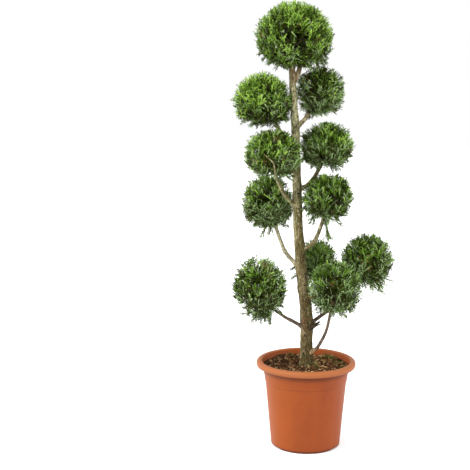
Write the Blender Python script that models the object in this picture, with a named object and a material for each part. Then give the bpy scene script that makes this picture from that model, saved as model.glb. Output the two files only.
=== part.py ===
"""A potted leyland cypress clipped into balls: leaning trunk, boughs, foliage balls, soil and pot.

Lengths are in metres and +Z is up. The origin is the middle of the pot's flat underside. The tree
is seen from -Y, so left and right in the names are towards -X and +X.
"""

import math
import random
from collections import namedtuple

import bmesh
import bpy
from mathutils import Matrix, Vector

UP = Vector((0, 0, 1))

# Clearance between neighbouring solids
GAP = 0.0003

# Pot
POT_HEIGHT = 0.262
POT_WALL = 0.003
POT_FLOOR = 0.004
POT_FOOT_RADIUS = 0.1045
POT_FOOT_ROUND = 0.007
POT_WAIST_HEIGHT = 0.197
POT_WAIST_RADIUS = 0.1217
POT_SHOULDER_FOOT_HEIGHT = 0.222
POT_SHOULDER_FOOT_RADIUS = 0.1270
POT_SHOULDER_RADIUS = 0.1295
POT_RIM_HEIGHT = 0.0178
POT_RIM_RADIUS = 0.1500
POT_RIM_ROUND = 0.007
POT_RIM_LEAN = 0.0015
POT_MOUTH_RADIUS = 0.1325
POT_SEGMENTS = 40
POT_SMOOTH_ANGLE = 35
DRAIN_HOLES = 6
DRAIN_HOLE_RADIUS = 0.006
DRAIN_HOLE_SIDES = 10
DRAIN_RING_RADIUS = 0.070
DRAIN_DRILL_LENGTH = 4 * POT_FLOOR

# Soil
SOIL_TOP = 0.2400
SOIL_MOUND = 0.0025
SOIL_LUMP = 0.0035
SOIL_RING_SHARES = (0.80, 0.60, 0.42)
SOIL_FLAT_RADIUS = 0.030
SOIL_SEGMENTS = 28
SOIL_CLEARANCE = 2 * GAP
SOIL_SEED = 7
SOIL_SMOOTH_ANGLE = 40

# Heaps on the soil's top: middle, height and radius of each
SOIL_HEAPS = (
    (-0.062, 0.088, 0.0085, 0.040),
    (-0.105, 0.028, 0.0045, 0.035),
    (0.070, 0.078, 0.0050, 0.036),
    (0.106, 0.006, 0.0030, 0.025),
)

# Trunk: height, lean towards +X and radius at each station, from the cut at the soil to the tip
TRUNK_FOOT = SOIL_TOP + SOIL_MOUND + GAP
TRUNK_STATIONS = (
    (TRUNK_FOOT, 0.0000, 0.0200),
    (0.258, 0.0002, 0.0178),
    (0.297, 0.0006, 0.0178),
    (0.350, 0.0016, 0.0181),
    (0.384, -0.0003, 0.0179),
    (0.447, -0.0036, 0.0173),
    (0.515, -0.0141, 0.0158),
    (0.583, -0.0210, 0.0148),
    (0.650, -0.0255, 0.0137),
    (0.717, -0.0293, 0.0135),
    (0.815, -0.0334, 0.0123),
    (0.956, -0.0380, 0.0107),
    (1.071, -0.0468, 0.0093),
    (1.152, -0.0505, 0.0080),
)
TRUNK_SIDES = 12
FLARE_LOBES = 5
FLARE_DEPTH = 0.10
FLARE_HEIGHT = 0.016
LIMB_SMOOTH_ANGLE = 50

# Boughs
BOUGH_SIDES = 6
RINGS_PER_SPAN = 2
COLLAR_SWELL = 1.45
COLLAR_LENGTH = 0.030

# Foliage balls: shares are of the distance from a ball's centre to its clipped surface
CORE_SHARE = 0.72
CORE_LIFT = 0.05
CORE_DETAIL = 1
CORE_DETAIL_LARGE = 2
LARGE_BALL_WIDTH = 0.2
SPRAYS_PER_SQUARE_METRE = 460
SPRAY_LENGTH_SHARE = 0.48
SPRAY_WIDTH = 0.038
SPRAY_WIDTH_RANGE = (0.85, 1.15)
SPRAY_THICKNESS = 0.0055
SPRAY_TIP_SHARES = (0.97, 1.01)
SPRAY_SCATTER = 0.10
SPRAY_RISE = 0.50
SPRAY_RISE_FLOOR = -0.5
SPRAY_JITTER = 0.22
SPRAY_ROLL = 0.5

# A spray's outline as shares of its length and width: root, tooth, notch, tip, notch, tooth
SPRAY_OUTLINE = ((0, 0), (0.70, -0.50), (0.72, -0.17), (1, 0), (0.72, 0.17), (0.62, 0.46))
SPRAY_RIDGE_SHARE = 0.55

# Stem and lower twigs of a ball: fork and knee are shares of the way along the stem and the twig
STEM_SIDES = 5
STEM_STRAIGHT = 0.008
STEM_TIP_SHARE = 0.6
TWIG_SIDES = 3
TWIG_RADIUS = 0.0022
TWIG_TIP_SHARE = 0.7
TWIG_FORK_SHARES = (0.20, 0.32)
TWIG_AIM_SHARE = 0.45
TWIG_SPREAD = 1.05
TWIG_DROOP = 0.50
TWIG_TURN = 0.2
TWIG_JITTER = 0.15
TWIG_REACH_SHARE = 0.98
TWIG_KNEE_SHARE = 0.62
TWIG_SPRAY_SHARE = 0.45
TWIG_SPRAY_WIDTH = 0.030
HANG_SHARES = (0.6, 1.0)
LIMB_CLEARANCE = 0.003

Bough = namedtuple("Bough", "name base_radius tip_radius route")
Ball = namedtuple("Ball", "name limb centre width height egg hang twigs")

BOUGHS = (
    Bough("bough_left_1", 0.0070, 0.0058, (
        (-0.0363, 0, 0.874), (-0.0585, -0.012, 0.9085), (-0.079, -0.018, 0.944), (-0.097, -0.028, 0.976))),
    Bough("bough_left_2", 0.0060, 0.0046, (
        (-0.0295, 0, 0.723), (-0.065, -0.030, 0.762), (-0.083, -0.052, 0.798), (-0.095, -0.070, 0.832))),
    Bough("bough_left_3", 0.0063, 0.0052, (
        (-0.0166, 0, 0.539), (-0.0595, 0.018, 0.5795), (-0.0765, 0.030, 0.6105), (-0.097, 0.042, 0.665))),
    Bough("bough_left_4", 0.0055, 0.0043, (
        (-0.0028, -0.006, 0.355), (-0.0222, -0.0125, 0.372), (-0.0425, -0.020, 0.385),
        (-0.0636, -0.026, 0.3977), (-0.090, -0.030, 0.416))),
    Bough("bough_right_1", 0.0066, 0.0058, (
        (-0.0381, 0, 0.960), (-0.0155, 0.016, 0.979), (-0.0005, 0.032, 0.998))),
    Bough("bough_right_2", 0.0062, 0.0052, (
        (-0.0318, 0, 0.773), (0.008, 0.010, 0.7995), (0.039, 0.022, 0.848))),
    Bough("bough_right_3", 0.0062, 0.0053, (
        (-0.0223, 0, 0.596), (0.012, -0.012, 0.615), (0.030, -0.020, 0.645), (0.048, -0.028, 0.698))),
    Bough("bough_right_4", 0.0050, 0.0038, (
        (-0.0078, 0, 0.470), (0.002, 0.034, 0.486), (0.012, 0.062, 0.504))),
    Bough("bough_right_5", 0.0052, 0.0043, (
        (0.0040, -0.006, 0.2785), (0.0193, -0.012, 0.2905), (0.0325, -0.014, 0.3015), (0.0415, -0.015, 0.316),
        (0.0525, -0.018, 0.3385), (0.0632, -0.026, 0.3715), (0.072, -0.042, 0.424))),
    Bough("bough_right_6", 0.0058, 0.0042, (
        (0.0002, 0, 0.3645), (0.041, 0.009, 0.393), (0.095, 0.030, 0.432), (0.130, 0.044, 0.468),
        (0.1585, 0.050, 0.500))),
    Bough("bough_top", 0.0058, 0.0058, (
        (-0.0458, 0.001, 1.092), (-0.034, 0.004, 1.113), (-0.022, 0.007, 1.147))),
    Bough("pruned_stub", 0.0092, 0.0050, (
        (0.008, -0.008, 0.3640), (0.0180, -0.012, 0.3685), (0.0305, -0.015, 0.3745))),
)

# Each ball's limb is the one whose tip its stem goes on from. Egg above 0 narrows the lower half,
# and hang is how far the loose sprays at the bottom reach below the clipped surface.
BALLS = (
    Ball("foliage_top", "trunk", (-0.044, 0, 1.2255), 0.231, 0.203, 0.05, 0.006, 6),
    Ball("foliage_left_1", "bough_left_1", (-0.1315, -0.040, 1.041), 0.177, 0.165, 0.05, 0.000, 5),
    Ball("foliage_left_2", "bough_left_2", (-0.0995, -0.085, 0.8925), 0.175, 0.142, 0.04, 0.004, 5),
    Ball("foliage_left_3", "bough_left_3", (-0.1185, 0.050, 0.736), 0.167, 0.176, 0.05, 0.016, 5),
    Ball("foliage_left_4", "bough_left_4", (-0.139, -0.030, 0.485), 0.170, 0.202, 0.18, 0.008, 5),
    Ball("foliage_right_1", "bough_right_1", (0.0325, 0.062, 1.0655), 0.157, 0.161, 0.04, 0.000, 5),
    Ball("foliage_right_2", "bough_right_2", (0.053, 0.030, 0.9075), 0.166, 0.145, 0.06, 0.014, 5),
    Ball("foliage_right_3", "bough_right_3", (0.060, -0.030, 0.762), 0.158, 0.147, 0.06, 0.045, 5),
    Ball("foliage_right_4", "bough_right_4", (0.029, 0.090, 0.553), 0.136, 0.132, 0.05, 0.010, 5),
    Ball("foliage_right_5", "bough_right_5", (0.083, -0.055, 0.497), 0.161, 0.167, 0.04, 0.016, 5),
    Ball("foliage_right_6", "bough_right_6", (0.1833, 0.062, 0.5625), 0.167, 0.163, 0.05, 0.050, 6),
)


def clear_scene():
    for thing in list(bpy.data.objects):
        bpy.data.objects.remove(thing)


def material(name, colour, roughness):
    """A Principled material in a plain colour, given as linear red, green and blue."""
    made = bpy.data.materials.new(name)
    made.use_nodes = True
    shader = made.node_tree.nodes["Principled BSDF"]
    shader.inputs["Base Color"].default_value = (*colour, 1)
    shader.inputs["Roughness"].default_value = roughness
    shader.inputs["Metallic"].default_value = 0
    return made


def new_object(name, shape, finish, smooth_angle=None, collection=None):
    """Turns a bmesh into an object, and frees the bmesh."""
    mesh = bpy.data.meshes.new(name)
    shape.to_mesh(mesh)
    shape.free()
    if smooth_angle is not None:
        mesh.shade_smooth()
        mesh.set_sharp_from_angle(angle=math.radians(smooth_angle))
    if finish is not None:
        mesh.materials.append(finish)
    thing = bpy.data.objects.new(name, mesh)
    (collection or bpy.context.scene.collection).objects.link(thing)
    return thing


def make_cutter(thing):
    """Marks an object as a tool for Boolean modifiers, which is no part of the plant."""
    thing.hide_render = True
    thing.display_type = "WIRE"
    return thing


def cut(thing, cutter):
    carve = thing.modifiers.new("cut_" + cutter.name, "BOOLEAN")
    carve.operation = "DIFFERENCE"
    carve.solver = "EXACT"
    carve.object = cutter


def rings_to_solid(rings):
    """A closed solid through rings of points, all of one count, with flat caps on the end rings."""
    shape = bmesh.new()
    rows = [[shape.verts.new(point) for point in ring] for ring in rings]
    count = len(rows[0])
    for low, high in zip(rows, rows[1:]):
        for i in range(count):
            j = (i + 1) % count
            shape.faces.new((low[i], low[j], high[j], high[i]))
    shape.faces.new(list(reversed(rows[0])))
    shape.faces.new(rows[-1])
    bmesh.ops.recalc_face_normals(shape, faces=shape.faces)
    return shape


def turned_rings(profile, segments):
    """Rings round the Z axis, one for each radius and height of a profile."""
    turns = [2 * math.pi * i / segments for i in range(segments)]
    return [[Vector((r * math.cos(a), r * math.sin(a), z)) for a in turns] for r, z in profile]


def arc(centre, radius, start, end, steps):
    """Points on an arc in the plane of a profile, with its angles in degrees."""
    angles = [math.radians(start + (end - start) * i / steps) for i in range(steps + 1)]
    return [(centre[0] + radius * math.cos(a), centre[1] + radius * math.sin(a)) for a in angles]


def curve_through(points, steps):
    """A smooth Catmull-Rom curve through points of any dimension, with its end points kept."""
    points = [Vector(p) for p in points]
    ends = [2 * points[0] - points[1]] + points + [2 * points[-1] - points[-2]]
    line = []
    for a, b, c, d in zip(ends, ends[1:], ends[2:], ends[3:]):
        for i in range(steps):
            t = i / steps
            line.append(0.5 * (2 * b + (c - a) * t + (2 * a - 5 * b + 4 * c - d) * t * t
                               + (3 * b - a - 3 * c + d) * t ** 3))
    return line + [points[-1]]


def tube_rings(line, radii, sides, first_way=None):
    """Rings square to a line, turned as little as they can be from one to the next."""
    ahead, behind = line[1:] + line[-1:], line[:1] + line[:-1]
    ways = [(b - a).normalized() for a, b in zip(behind, ahead)]
    ways[0] = first_way or ways[0]
    across = ways[0].orthogonal().normalized()
    rings = []
    for i, (centre, radius, way) in enumerate(zip(line, radii, ways)):
        if i:
            across = ways[i - 1].rotation_difference(way) @ across
        rings.append([centre + radius * (Matrix.Rotation(2 * math.pi * k / sides, 3, way) @ across)
                      for k in range(sides)])
    return rings


def pot_profile():
    """The pot's outline from the rim of its underside, up the outside, over the rim and down inside."""
    rim_foot = POT_HEIGHT - POT_RIM_HEIGHT
    rim_turn = POT_HEIGHT - POT_RIM_ROUND
    foot = arc((POT_FOOT_RADIUS - POT_FOOT_ROUND, POT_FOOT_ROUND), POT_FOOT_ROUND, -90, -5, 3)
    wall = [
        (POT_WAIST_RADIUS, POT_WAIST_HEIGHT),
        (POT_SHOULDER_FOOT_RADIUS, POT_SHOULDER_FOOT_HEIGHT),
        (POT_SHOULDER_RADIUS, rim_foot),
    ]
    rim = [(POT_RIM_RADIUS - POT_RIM_LEAN, rim_foot), (POT_RIM_RADIUS, (rim_foot + POT_HEIGHT) / 2)]
    rim += arc((POT_RIM_RADIUS - POT_RIM_ROUND, rim_turn), POT_RIM_ROUND, 20, 90, 3)
    rim += arc((POT_MOUTH_RADIUS + POT_RIM_ROUND, rim_turn), POT_RIM_ROUND, 90, 180, 3)
    inside = [
        (POT_SHOULDER_RADIUS - POT_WALL, rim_foot),
        (POT_SHOULDER_FOOT_RADIUS - POT_WALL, POT_SHOULDER_FOOT_HEIGHT),
        (POT_WAIST_RADIUS - POT_WALL, POT_WAIST_HEIGHT),
        (POT_FOOT_RADIUS - POT_WALL, POT_FLOOR),
    ]
    return foot + wall + rim + inside


def build_pot(finish):
    shape = rings_to_solid(turned_rings(pot_profile(), POT_SEGMENTS))
    pot = new_object("pot", shape, finish, POT_SMOOTH_ANGLE)
    drill = bmesh.new()
    for i in range(DRAIN_HOLES):
        turn = 2 * math.pi * i / DRAIN_HOLES
        place = Vector((math.cos(turn), math.sin(turn), 0)) * DRAIN_RING_RADIUS
        bmesh.ops.create_cone(drill, cap_ends=True, segments=DRAIN_HOLE_SIDES,
                              radius1=DRAIN_HOLE_RADIUS, radius2=DRAIN_HOLE_RADIUS,
                              depth=DRAIN_DRILL_LENGTH, matrix=Matrix.Translation(place))
    cut(pot, make_cutter(new_object("drain_drill", drill, None)))


def inner_radius(height):
    """The radius of the pot's inner wall at a height below its rim."""
    rim_foot = POT_HEIGHT - POT_RIM_HEIGHT
    stops = (
        (POT_FLOOR, POT_FOOT_RADIUS),
        (POT_WAIST_HEIGHT, POT_WAIST_RADIUS),
        (POT_SHOULDER_FOOT_HEIGHT, POT_SHOULDER_FOOT_RADIUS),
        (rim_foot, POT_SHOULDER_RADIUS),
    )
    for (low, low_radius), (high, high_radius) in zip(stops, stops[1:]):
        if height <= high:
            share = (height - low) / (high - low)
            return low_radius + (high_radius - low_radius) * share - POT_WALL
    return POT_SHOULDER_RADIUS - POT_WALL


def heap_height(x, y):
    """How far the heaps raise the soil's top at a place."""
    return sum(height * math.exp(-((x - a) ** 2 + (y - b) ** 2) / size ** 2)
               for a, b, height, size in SOIL_HEAPS)


def build_soil(finish):
    """The soil that fills the pot, lumpy on top and flat where the trunk stands."""
    rng = random.Random(SOIL_SEED)
    edge = inner_radius(SOIL_TOP) - SOIL_CLEARANCE
    profile = [(inner_radius(z) - SOIL_CLEARANCE, z) for z in (POT_FLOOR + GAP, POT_WAIST_HEIGHT, SOIL_TOP)]
    lumps = [(edge * share, SOIL_TOP) for share in SOIL_RING_SHARES]
    rings = turned_rings(profile + lumps + [(SOIL_FLAT_RADIUS, SOIL_TOP + SOIL_MOUND)], SOIL_SEGMENTS)
    for ring in rings[len(profile):-1]:
        for point in ring:
            point.z += rng.uniform(-SOIL_LUMP, SOIL_LUMP) + heap_height(point.x, point.y)
    new_object("soil", rings_to_solid(rings), finish, SOIL_SMOOTH_ANGLE)


def trunk_line():
    """The trunk's smooth centreline and its radius at each point."""
    stations = curve_through([(x, z, radius) for z, x, radius in TRUNK_STATIONS], RINGS_PER_SPAN)
    return [Vector((x, 0, z)) for x, z, _ in stations], [radius for _, _, radius in stations]


def trunk_rings(extra):
    """The trunk's rings with its root flare, all grown by an extra radius."""
    line, radii = trunk_line()
    rings = tube_rings(line, [radius + extra for radius in radii], TRUNK_SIDES, UP)
    for ring, centre in zip(rings, line):
        depth = FLARE_DEPTH * math.exp(-(centre.z - TRUNK_FOOT) / FLARE_HEIGHT)
        for i, point in enumerate(ring):
            lobe = 1 + depth * math.sin(FLARE_LOBES * 2 * math.pi * i / TRUNK_SIDES)
            ring[i] = centre + (point - centre) * lobe
    return rings


def build_trunk(finish):
    new_object("trunk", rings_to_solid(trunk_rings(0)), finish, LIMB_SMOOTH_ANGLE)


def bough_line(bough):
    """A bough's smooth centreline and its radii, with the collar that swells where it leaves the trunk."""
    line = curve_through(bough.route, RINGS_PER_SPAN)
    last = len(line) - 1
    radii = []
    for i, point in enumerate(line):
        share = i / last
        collar = 1 + (COLLAR_SWELL - 1) * max(0, 1 - (point - line[0]).length / COLLAR_LENGTH)
        radii.append((bough.base_radius + (bough.tip_radius - bough.base_radius) * share) * collar)
    return line, radii


def build_boughs(finish):
    sleeve = make_cutter(new_object("trunk_sleeve", rings_to_solid(trunk_rings(GAP)), None))
    for bough in BOUGHS:
        line, radii = bough_line(bough)
        tube = rings_to_solid(tube_rings(line, radii, BOUGH_SIDES))
        cut(new_object(bough.name, tube, finish, LIMB_SMOOTH_ANGLE), sleeve)


def limb_tips():
    """Each limb's end point, the way it points there and its radius there."""
    lines = {bough.name: bough_line(bough) for bough in BOUGHS}
    lines["trunk"] = trunk_line()
    return {name: (line[-1], (line[-1] - line[-2]).normalized(), radii[-1])
            for name, (line, radii) in lines.items()}


def limb_spheres():
    """Centres and radii of spheres along every limb, which foliage keeps clear of."""
    spheres = []
    for line, radii in [trunk_line()] + [bough_line(bough) for bough in BOUGHS]:
        for a, b, radius in zip(line, line[1:], radii):
            steps = max(1, int((b - a).length / radius))
            spheres += [(a.lerp(b, k / steps), radius) for k in range(steps)]
        spheres.append((line[-1], radii[-1]))
    return spheres


def reach(ball, way):
    """How far the ball's clipped surface lies from its centre along a unit direction."""
    narrow = 1 + ball.egg * min(0, way.z)
    wide = ball.width / 2 * narrow
    return 1 / math.sqrt((way.x ** 2 + way.y ** 2) / wide ** 2 + way.z ** 2 / (ball.height / 2) ** 2)


def even_ways(count):
    """Directions spread evenly over the sphere, from the top down."""
    golden = math.pi * (3 - math.sqrt(5))
    for i in range(count):
        z = 1 - 2 * (i + 0.5) / count
        flat = math.sqrt(1 - z * z)
        yield Vector((flat * math.cos(golden * i), flat * math.sin(golden * i), z))


def shake(rng, amount):
    return Vector([rng.uniform(-amount, amount) for _ in range(3)])


def spray_points(root, tip, side, width):
    """The root, three teeth and two notches of a blade, then the ridge on each of its faces."""
    along = tip - root
    side = (side - side.project(along)).normalized()
    ridge = along.cross(side).normalized() * SPRAY_THICKNESS / 2
    middle = root + along * SPRAY_RIDGE_SHARE
    points = [root + along * length + side * width * across for length, across in SPRAY_OUTLINE]
    return points + [middle + ridge, middle - ridge]


def spray_shape(points):
    """A thin three-toothed blade, closed by six faces on each side."""
    shape = bmesh.new()
    *rim, front, back = [shape.verts.new(point) for point in points]
    for i, start in enumerate(rim):
        end = rim[(i + 1) % len(rim)]
        shape.faces.new((start, end, front))
        shape.faces.new((end, start, back))
    bmesh.ops.recalc_face_normals(shape, faces=shape.faces)
    return shape


def core_shape(ball):
    """The smaller body inside a clipped ball, which its sprays stand out of."""
    shape = bmesh.new()
    detail = CORE_DETAIL_LARGE if ball.width > LARGE_BALL_WIDTH else CORE_DETAIL
    bmesh.ops.create_icosphere(shape, subdivisions=detail, radius=1)
    lift = UP * CORE_LIFT * ball.height / 2
    for vert in shape.verts:
        way = vert.co.normalized()
        vert.co = Vector(ball.centre) + lift + way * reach(ball, way) * CORE_SHARE
    return shape


def keeps_clear(points, spheres):
    """True if no point of a twig or spray comes near a limb."""
    return all((point - centre).length > radius + LIMB_CLEARANCE
               for point in points for centre, radius in spheres)


def inside_another(ball, points):
    """True if a point lies in the space of another ball."""
    for other in BALLS:
        for point in points:
            away = point - Vector(other.centre)
            if other is not ball and away.length < reach(other, away.normalized()) + LIMB_CLEARANCE:
                return True
    return False


def crown_sprays(ball, rng, spheres):
    """Sprays all over the ball, clipped at its surface and turned upwards, with their roots in the core."""
    area = math.pi * ball.width * (ball.width + ball.height) / 2
    sprays = []
    for way in even_ways(round(area * SPRAYS_PER_SQUARE_METRE)):
        way = (way + shake(rng, SPRAY_SCATTER)).normalized()
        tip = Vector(ball.centre) + way * reach(ball, way) * rng.uniform(*SPRAY_TIP_SHARES)
        rise = UP * SPRAY_RISE * (1 - abs(way.z)) * (way.z > SPRAY_RISE_FLOOR)
        lean = (way + rise + shake(rng, SPRAY_JITTER)).normalized()
        root = tip - lean * reach(ball, way) * SPRAY_LENGTH_SHARE
        side = way.cross(UP) + shake(rng, SPRAY_ROLL)
        points = spray_points(root, tip, side, SPRAY_WIDTH * rng.uniform(*SPRAY_WIDTH_RANGE))
        if keeps_clear(points[1:], spheres):
            sprays.append(spray_shape(points))
    return sprays


def lower_twigs(ball, rng, spheres, start, heart):
    """Twigs that fork from the stem under the core, each with a spray on its end."""
    stem = heart - start
    stem_way = stem.normalized()
    across = stem_way.orthogonal()
    shapes = []
    for i in range(ball.twigs):
        angle = 2 * math.pi * (i + rng.uniform(-TWIG_TURN, TWIG_TURN)) / ball.twigs
        turn = Matrix.Rotation(angle, 3, stem_way)
        fork = start + stem * rng.uniform(*TWIG_FORK_SHARES)
        spread = (turn @ across) * TWIG_SPREAD - UP * TWIG_DROOP + shake(rng, TWIG_JITTER)
        out = fork + (stem_way + spread).normalized() * stem.length * TWIG_AIM_SHARE
        way = (out - heart).normalized()
        hang = UP * ball.hang * rng.uniform(*HANG_SHARES) * max(0, -way.z)
        tip = heart + way * reach(ball, way) * TWIG_REACH_SHARE - hang
        knee = fork.lerp(tip, TWIG_KNEE_SHARE)
        side = way.cross(UP) + shake(rng, SPRAY_ROLL)
        points = spray_points(fork.lerp(tip, TWIG_SPRAY_SHARE), tip, side, TWIG_SPRAY_WIDTH)
        if keeps_clear(points + [knee], spheres) and not inside_another(ball, points):
            rings = tube_rings([fork, knee], [TWIG_RADIUS, TWIG_RADIUS * TWIG_TIP_SHARE], TWIG_SIDES)
            shapes += [rings_to_solid(rings), spray_shape(points)]
    return shapes


def largest_body(mesh):
    """Keeps the largest connected body of a mesh, so that no scrap or sealed hollow stays."""
    shape = bmesh.new()
    shape.from_mesh(mesh)
    shape.faces.ensure_lookup_table()
    unseen = set(shape.faces)
    bodies = []
    while unseen:
        body, edge = set(), {unseen.pop()}
        while edge:
            body |= edge
            edge = {f for face in edge for e in face.edges for f in e.link_faces} - body
        unseen -= body
        bodies.append(body)
    bodies.sort(key=len)
    for body in bodies[:-1]:
        bmesh.ops.delete(shape, geom=list(body), context="FACES")
    bmesh.ops.triangulate(shape, faces=shape.faces)
    shape.to_mesh(mesh)
    shape.free()


def fuse(thing, shapes):
    """Joins shapes to an object by one Boolean union on a collection, which is then removed."""
    gathered = bpy.data.collections.new(thing.name + "_parts")
    bpy.context.scene.collection.children.link(gathered)
    for i, shape in enumerate(shapes):
        new_object(f"{thing.name}_part_{i}", shape, None, collection=gathered)
    union = thing.modifiers.new("union", "BOOLEAN")
    union.operation = "UNION"
    union.solver = "EXACT"
    union.operand_type = "COLLECTION"
    union.collection = gathered
    graph = bpy.context.evaluated_depsgraph_get()
    joined = bpy.data.meshes.new_from_object(thing.evaluated_get(graph))
    thing.modifiers.clear()
    thing.data = joined
    largest_body(joined)
    for part in list(gathered.objects):
        bpy.data.objects.remove(part)
    bpy.data.collections.remove(gathered)


def build_balls(finish):
    tips, spheres = limb_tips(), limb_spheres()
    for seed, ball in enumerate(BALLS):
        rng = random.Random(seed)
        limb_tip, limb_way, limb_radius = tips[ball.limb]
        start = limb_tip + limb_way * GAP
        heart = Vector(ball.centre)
        stem_line = [start, start + limb_way * STEM_STRAIGHT, heart]
        stem_radii = [limb_radius, limb_radius, limb_radius * STEM_TIP_SHARE]
        stem = tube_rings(stem_line, stem_radii, STEM_SIDES, limb_way)
        shapes = [rings_to_solid(stem)]
        shapes += crown_sprays(ball, rng, spheres)
        shapes += lower_twigs(ball, rng, spheres, start, heart)
        thing = new_object(ball.name, core_shape(ball), finish)
        fuse(thing, shapes)


def main():
    clear_scene()
    terracotta = material("terracotta_plastic", (0.46, 0.125, 0.055), 0.45)
    earth = material("bark_soil", (0.055, 0.032, 0.020), 0.95)
    bark = material("cypress_bark", (0.19, 0.125, 0.085), 0.85)
    leaves = material("cypress_foliage", (0.070, 0.165, 0.030), 0.60)
    build_pot(terracotta)
    build_soil(earth)
    build_trunk(bark)
    build_boughs(bark)
    build_balls(leaves)


main()
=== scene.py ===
"""A potted leyland cypress clipped into balls: bark, foliage, pot and soil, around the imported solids.

Tables that metres() reads are in millimetres, and all other lengths are in metres. +Z is up, and the
tree is seen from -Y. Colours in display values run from 0 to 255.
"""

import math
from collections import namedtuple

import bmesh
import bpy
import numpy as np
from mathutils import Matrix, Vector, noise


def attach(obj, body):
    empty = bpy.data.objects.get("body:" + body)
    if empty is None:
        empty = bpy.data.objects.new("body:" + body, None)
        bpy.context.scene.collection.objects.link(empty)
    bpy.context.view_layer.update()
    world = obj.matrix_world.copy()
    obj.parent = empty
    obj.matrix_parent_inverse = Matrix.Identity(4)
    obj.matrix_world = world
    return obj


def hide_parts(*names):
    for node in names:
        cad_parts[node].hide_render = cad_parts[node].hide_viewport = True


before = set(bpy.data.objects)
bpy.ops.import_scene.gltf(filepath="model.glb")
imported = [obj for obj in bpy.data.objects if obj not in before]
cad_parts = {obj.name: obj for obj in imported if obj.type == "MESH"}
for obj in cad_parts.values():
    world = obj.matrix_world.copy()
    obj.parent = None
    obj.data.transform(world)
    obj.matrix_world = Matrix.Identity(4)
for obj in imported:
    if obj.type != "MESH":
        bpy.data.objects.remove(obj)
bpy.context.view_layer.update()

UP = np.array((0.0, 0.0, 1.0))
BALL_SEED, SPRAY_SEED, EDGE_FLAKE_SEED, RED_FLAKE_SEED, CHIP_SEED, MOSS_SEED = 100, 42, 77, 78, 31, 55


def metres(rows):
    """An array in metres from values in millimetres that are given to the tenth."""
    return np.round(np.array(rows, float) * 10) / 10000


# Camera, fitted to the pot's rim, mouth and foot in the photograph, in metres and degrees
CAMERA_PLACE = (0, -3.064, 1.097)
CAMERA_PITCH = 8.46
CAMERA_PAN = 4.02
CAMERA_VIEW = 25.48

# Soft lights: turn from the camera's side towards its right, height and width in degrees, strength
SUNS = (("key", -66, 44, 60, 2.5), ("fill", 78, 34, 40, 0.9))
FLOOR_RADIUS = 14
FLOOR_GLOW = 0.20

# Trunk: height, lean towards +X and radius at each station
TRUNK_STATIONS = (
    (242.8, 0, 20), (258, 0.2, 17.8), (297, 0.6, 17.8), (350, 1.6, 18.1), (384, -0.3, 17.9),
    (447, -3.6, 17.3), (515, -14.1, 15.8), (583, -21, 14.8), (650, -25.5, 13.7), (717, -29.3, 13.5),
    (815, -33.4, 12.3), (956, -38, 10.7), (1071, -46.8, 9.3), (1152, -50.5, 8),
)
FLARE_LOBES = 5
FLARE_DEPTH = 0.10
FLARE_HEIGHT = 0.016
TRUNK_SIDES = 72
TRUNK_STEPS = 26
TRUNK_RELIEF = 0.0017
BOUGH_SIDES = 22
BOUGH_STEPS = 16
FLARE_RELIEF = 0.0006
BOUGH_RELIEF = 0.0006
COLLAR_SWELL = 1.45
COLLAR_LENGTH = 0.030
COLLAR_RISE = 0.0022

# Boughs and the pruned stub: radii at foot and tip, and the route in between
BOUGHS = (
    ("bough_left_1", (7, 5.8), (
        (-36.3, 0, 874), (-58.5, -12, 908.5), (-79, -18, 944), (-97, -28, 976),
    )),
    ("bough_left_2", (6, 4.6), (
        (-29.5, 0, 723), (-65, -30, 762), (-83, -52, 798), (-95, -70, 832),
    )),
    ("bough_left_3", (6.3, 5.2), (
        (-16.6, 0, 539), (-59.5, 18, 579.5), (-76.5, 30, 610.5), (-97, 42, 665),
    )),
    ("bough_left_4", (5.5, 4.3), (
        (-2.8, -6, 355), (-22.2, -12.5, 372), (-42.5, -20, 385), (-63.6, -26, 397.7), (-90, -30, 416),
    )),
    ("bough_right_1", (6.6, 5.8), (
        (-38.1, 0, 960), (-15.5, 16, 979), (-0.5, 32, 998),
    )),
    ("bough_right_2", (6.2, 5.2), (
        (-31.8, 0, 773), (8, 10, 799.5), (39, 22, 848),
    )),
    ("bough_right_3", (6.2, 5.3), (
        (-22.3, 0, 596), (12, -12, 615), (30, -20, 645), (48, -28, 698),
    )),
    ("bough_right_4", (5, 3.8), (
        (-7.8, 0, 470), (2, 34, 486), (12, 62, 504),
    )),
    ("bough_right_5", (5.2, 4.3), (
        (4, -6, 278.5), (19.3, -12, 290.5), (32.5, -14, 301.5), (41.5, -15, 316), (52.5, -18, 338.5),
        (63.2, -26, 371.5), (72, -42, 424),
    )),
    ("bough_right_6", (5.8, 4.2), (
        (0.2, 0, 364.5), (41, 9, 393), (95, 30, 432), (130, 44, 468), (158.5, 50, 500),
    )),
    ("bough_top", (5.8, 5.8), (
        (-45.8, 1, 1092), (-34, 4, 1113), (-22, 7, 1147),
    )),
    ("pruned_stub", (9.2, 5), (
        (8, -8, 364), (18, -12, 368.5), (30.5, -15, 374.5),
    )),
)

# Scars of old twigs on the trunk: height, angle round it from +X in degrees, size and how far it stands out
KNOTS = (
    (268, 10, 10, 3.5), (330, 245, 8, 2.2), (405, 300, 7, 2), (441, 190, 9, 3), (478, 178, 8, 3.2),
    (500, 215, 6, 1.6), (562, 250, 10, 2.6), (600, 320, 7, 2.2), (640, 260, 6, 1.8), (672, 200, 7, 2),
    (735, 290, 7, 2.2), (790, 230, 6, 1.8), (845, 310, 6, 1.8), (930, 260, 6, 1.8), (990, 220, 6, 2),
    (1040, 300, 5, 1.6), (1095, 240, 5, 1.6), (360, 90, 8, 2.4), (520, 60, 8, 2.4), (690, 110, 7, 2),
    (880, 80, 6, 1.8),
)

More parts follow.
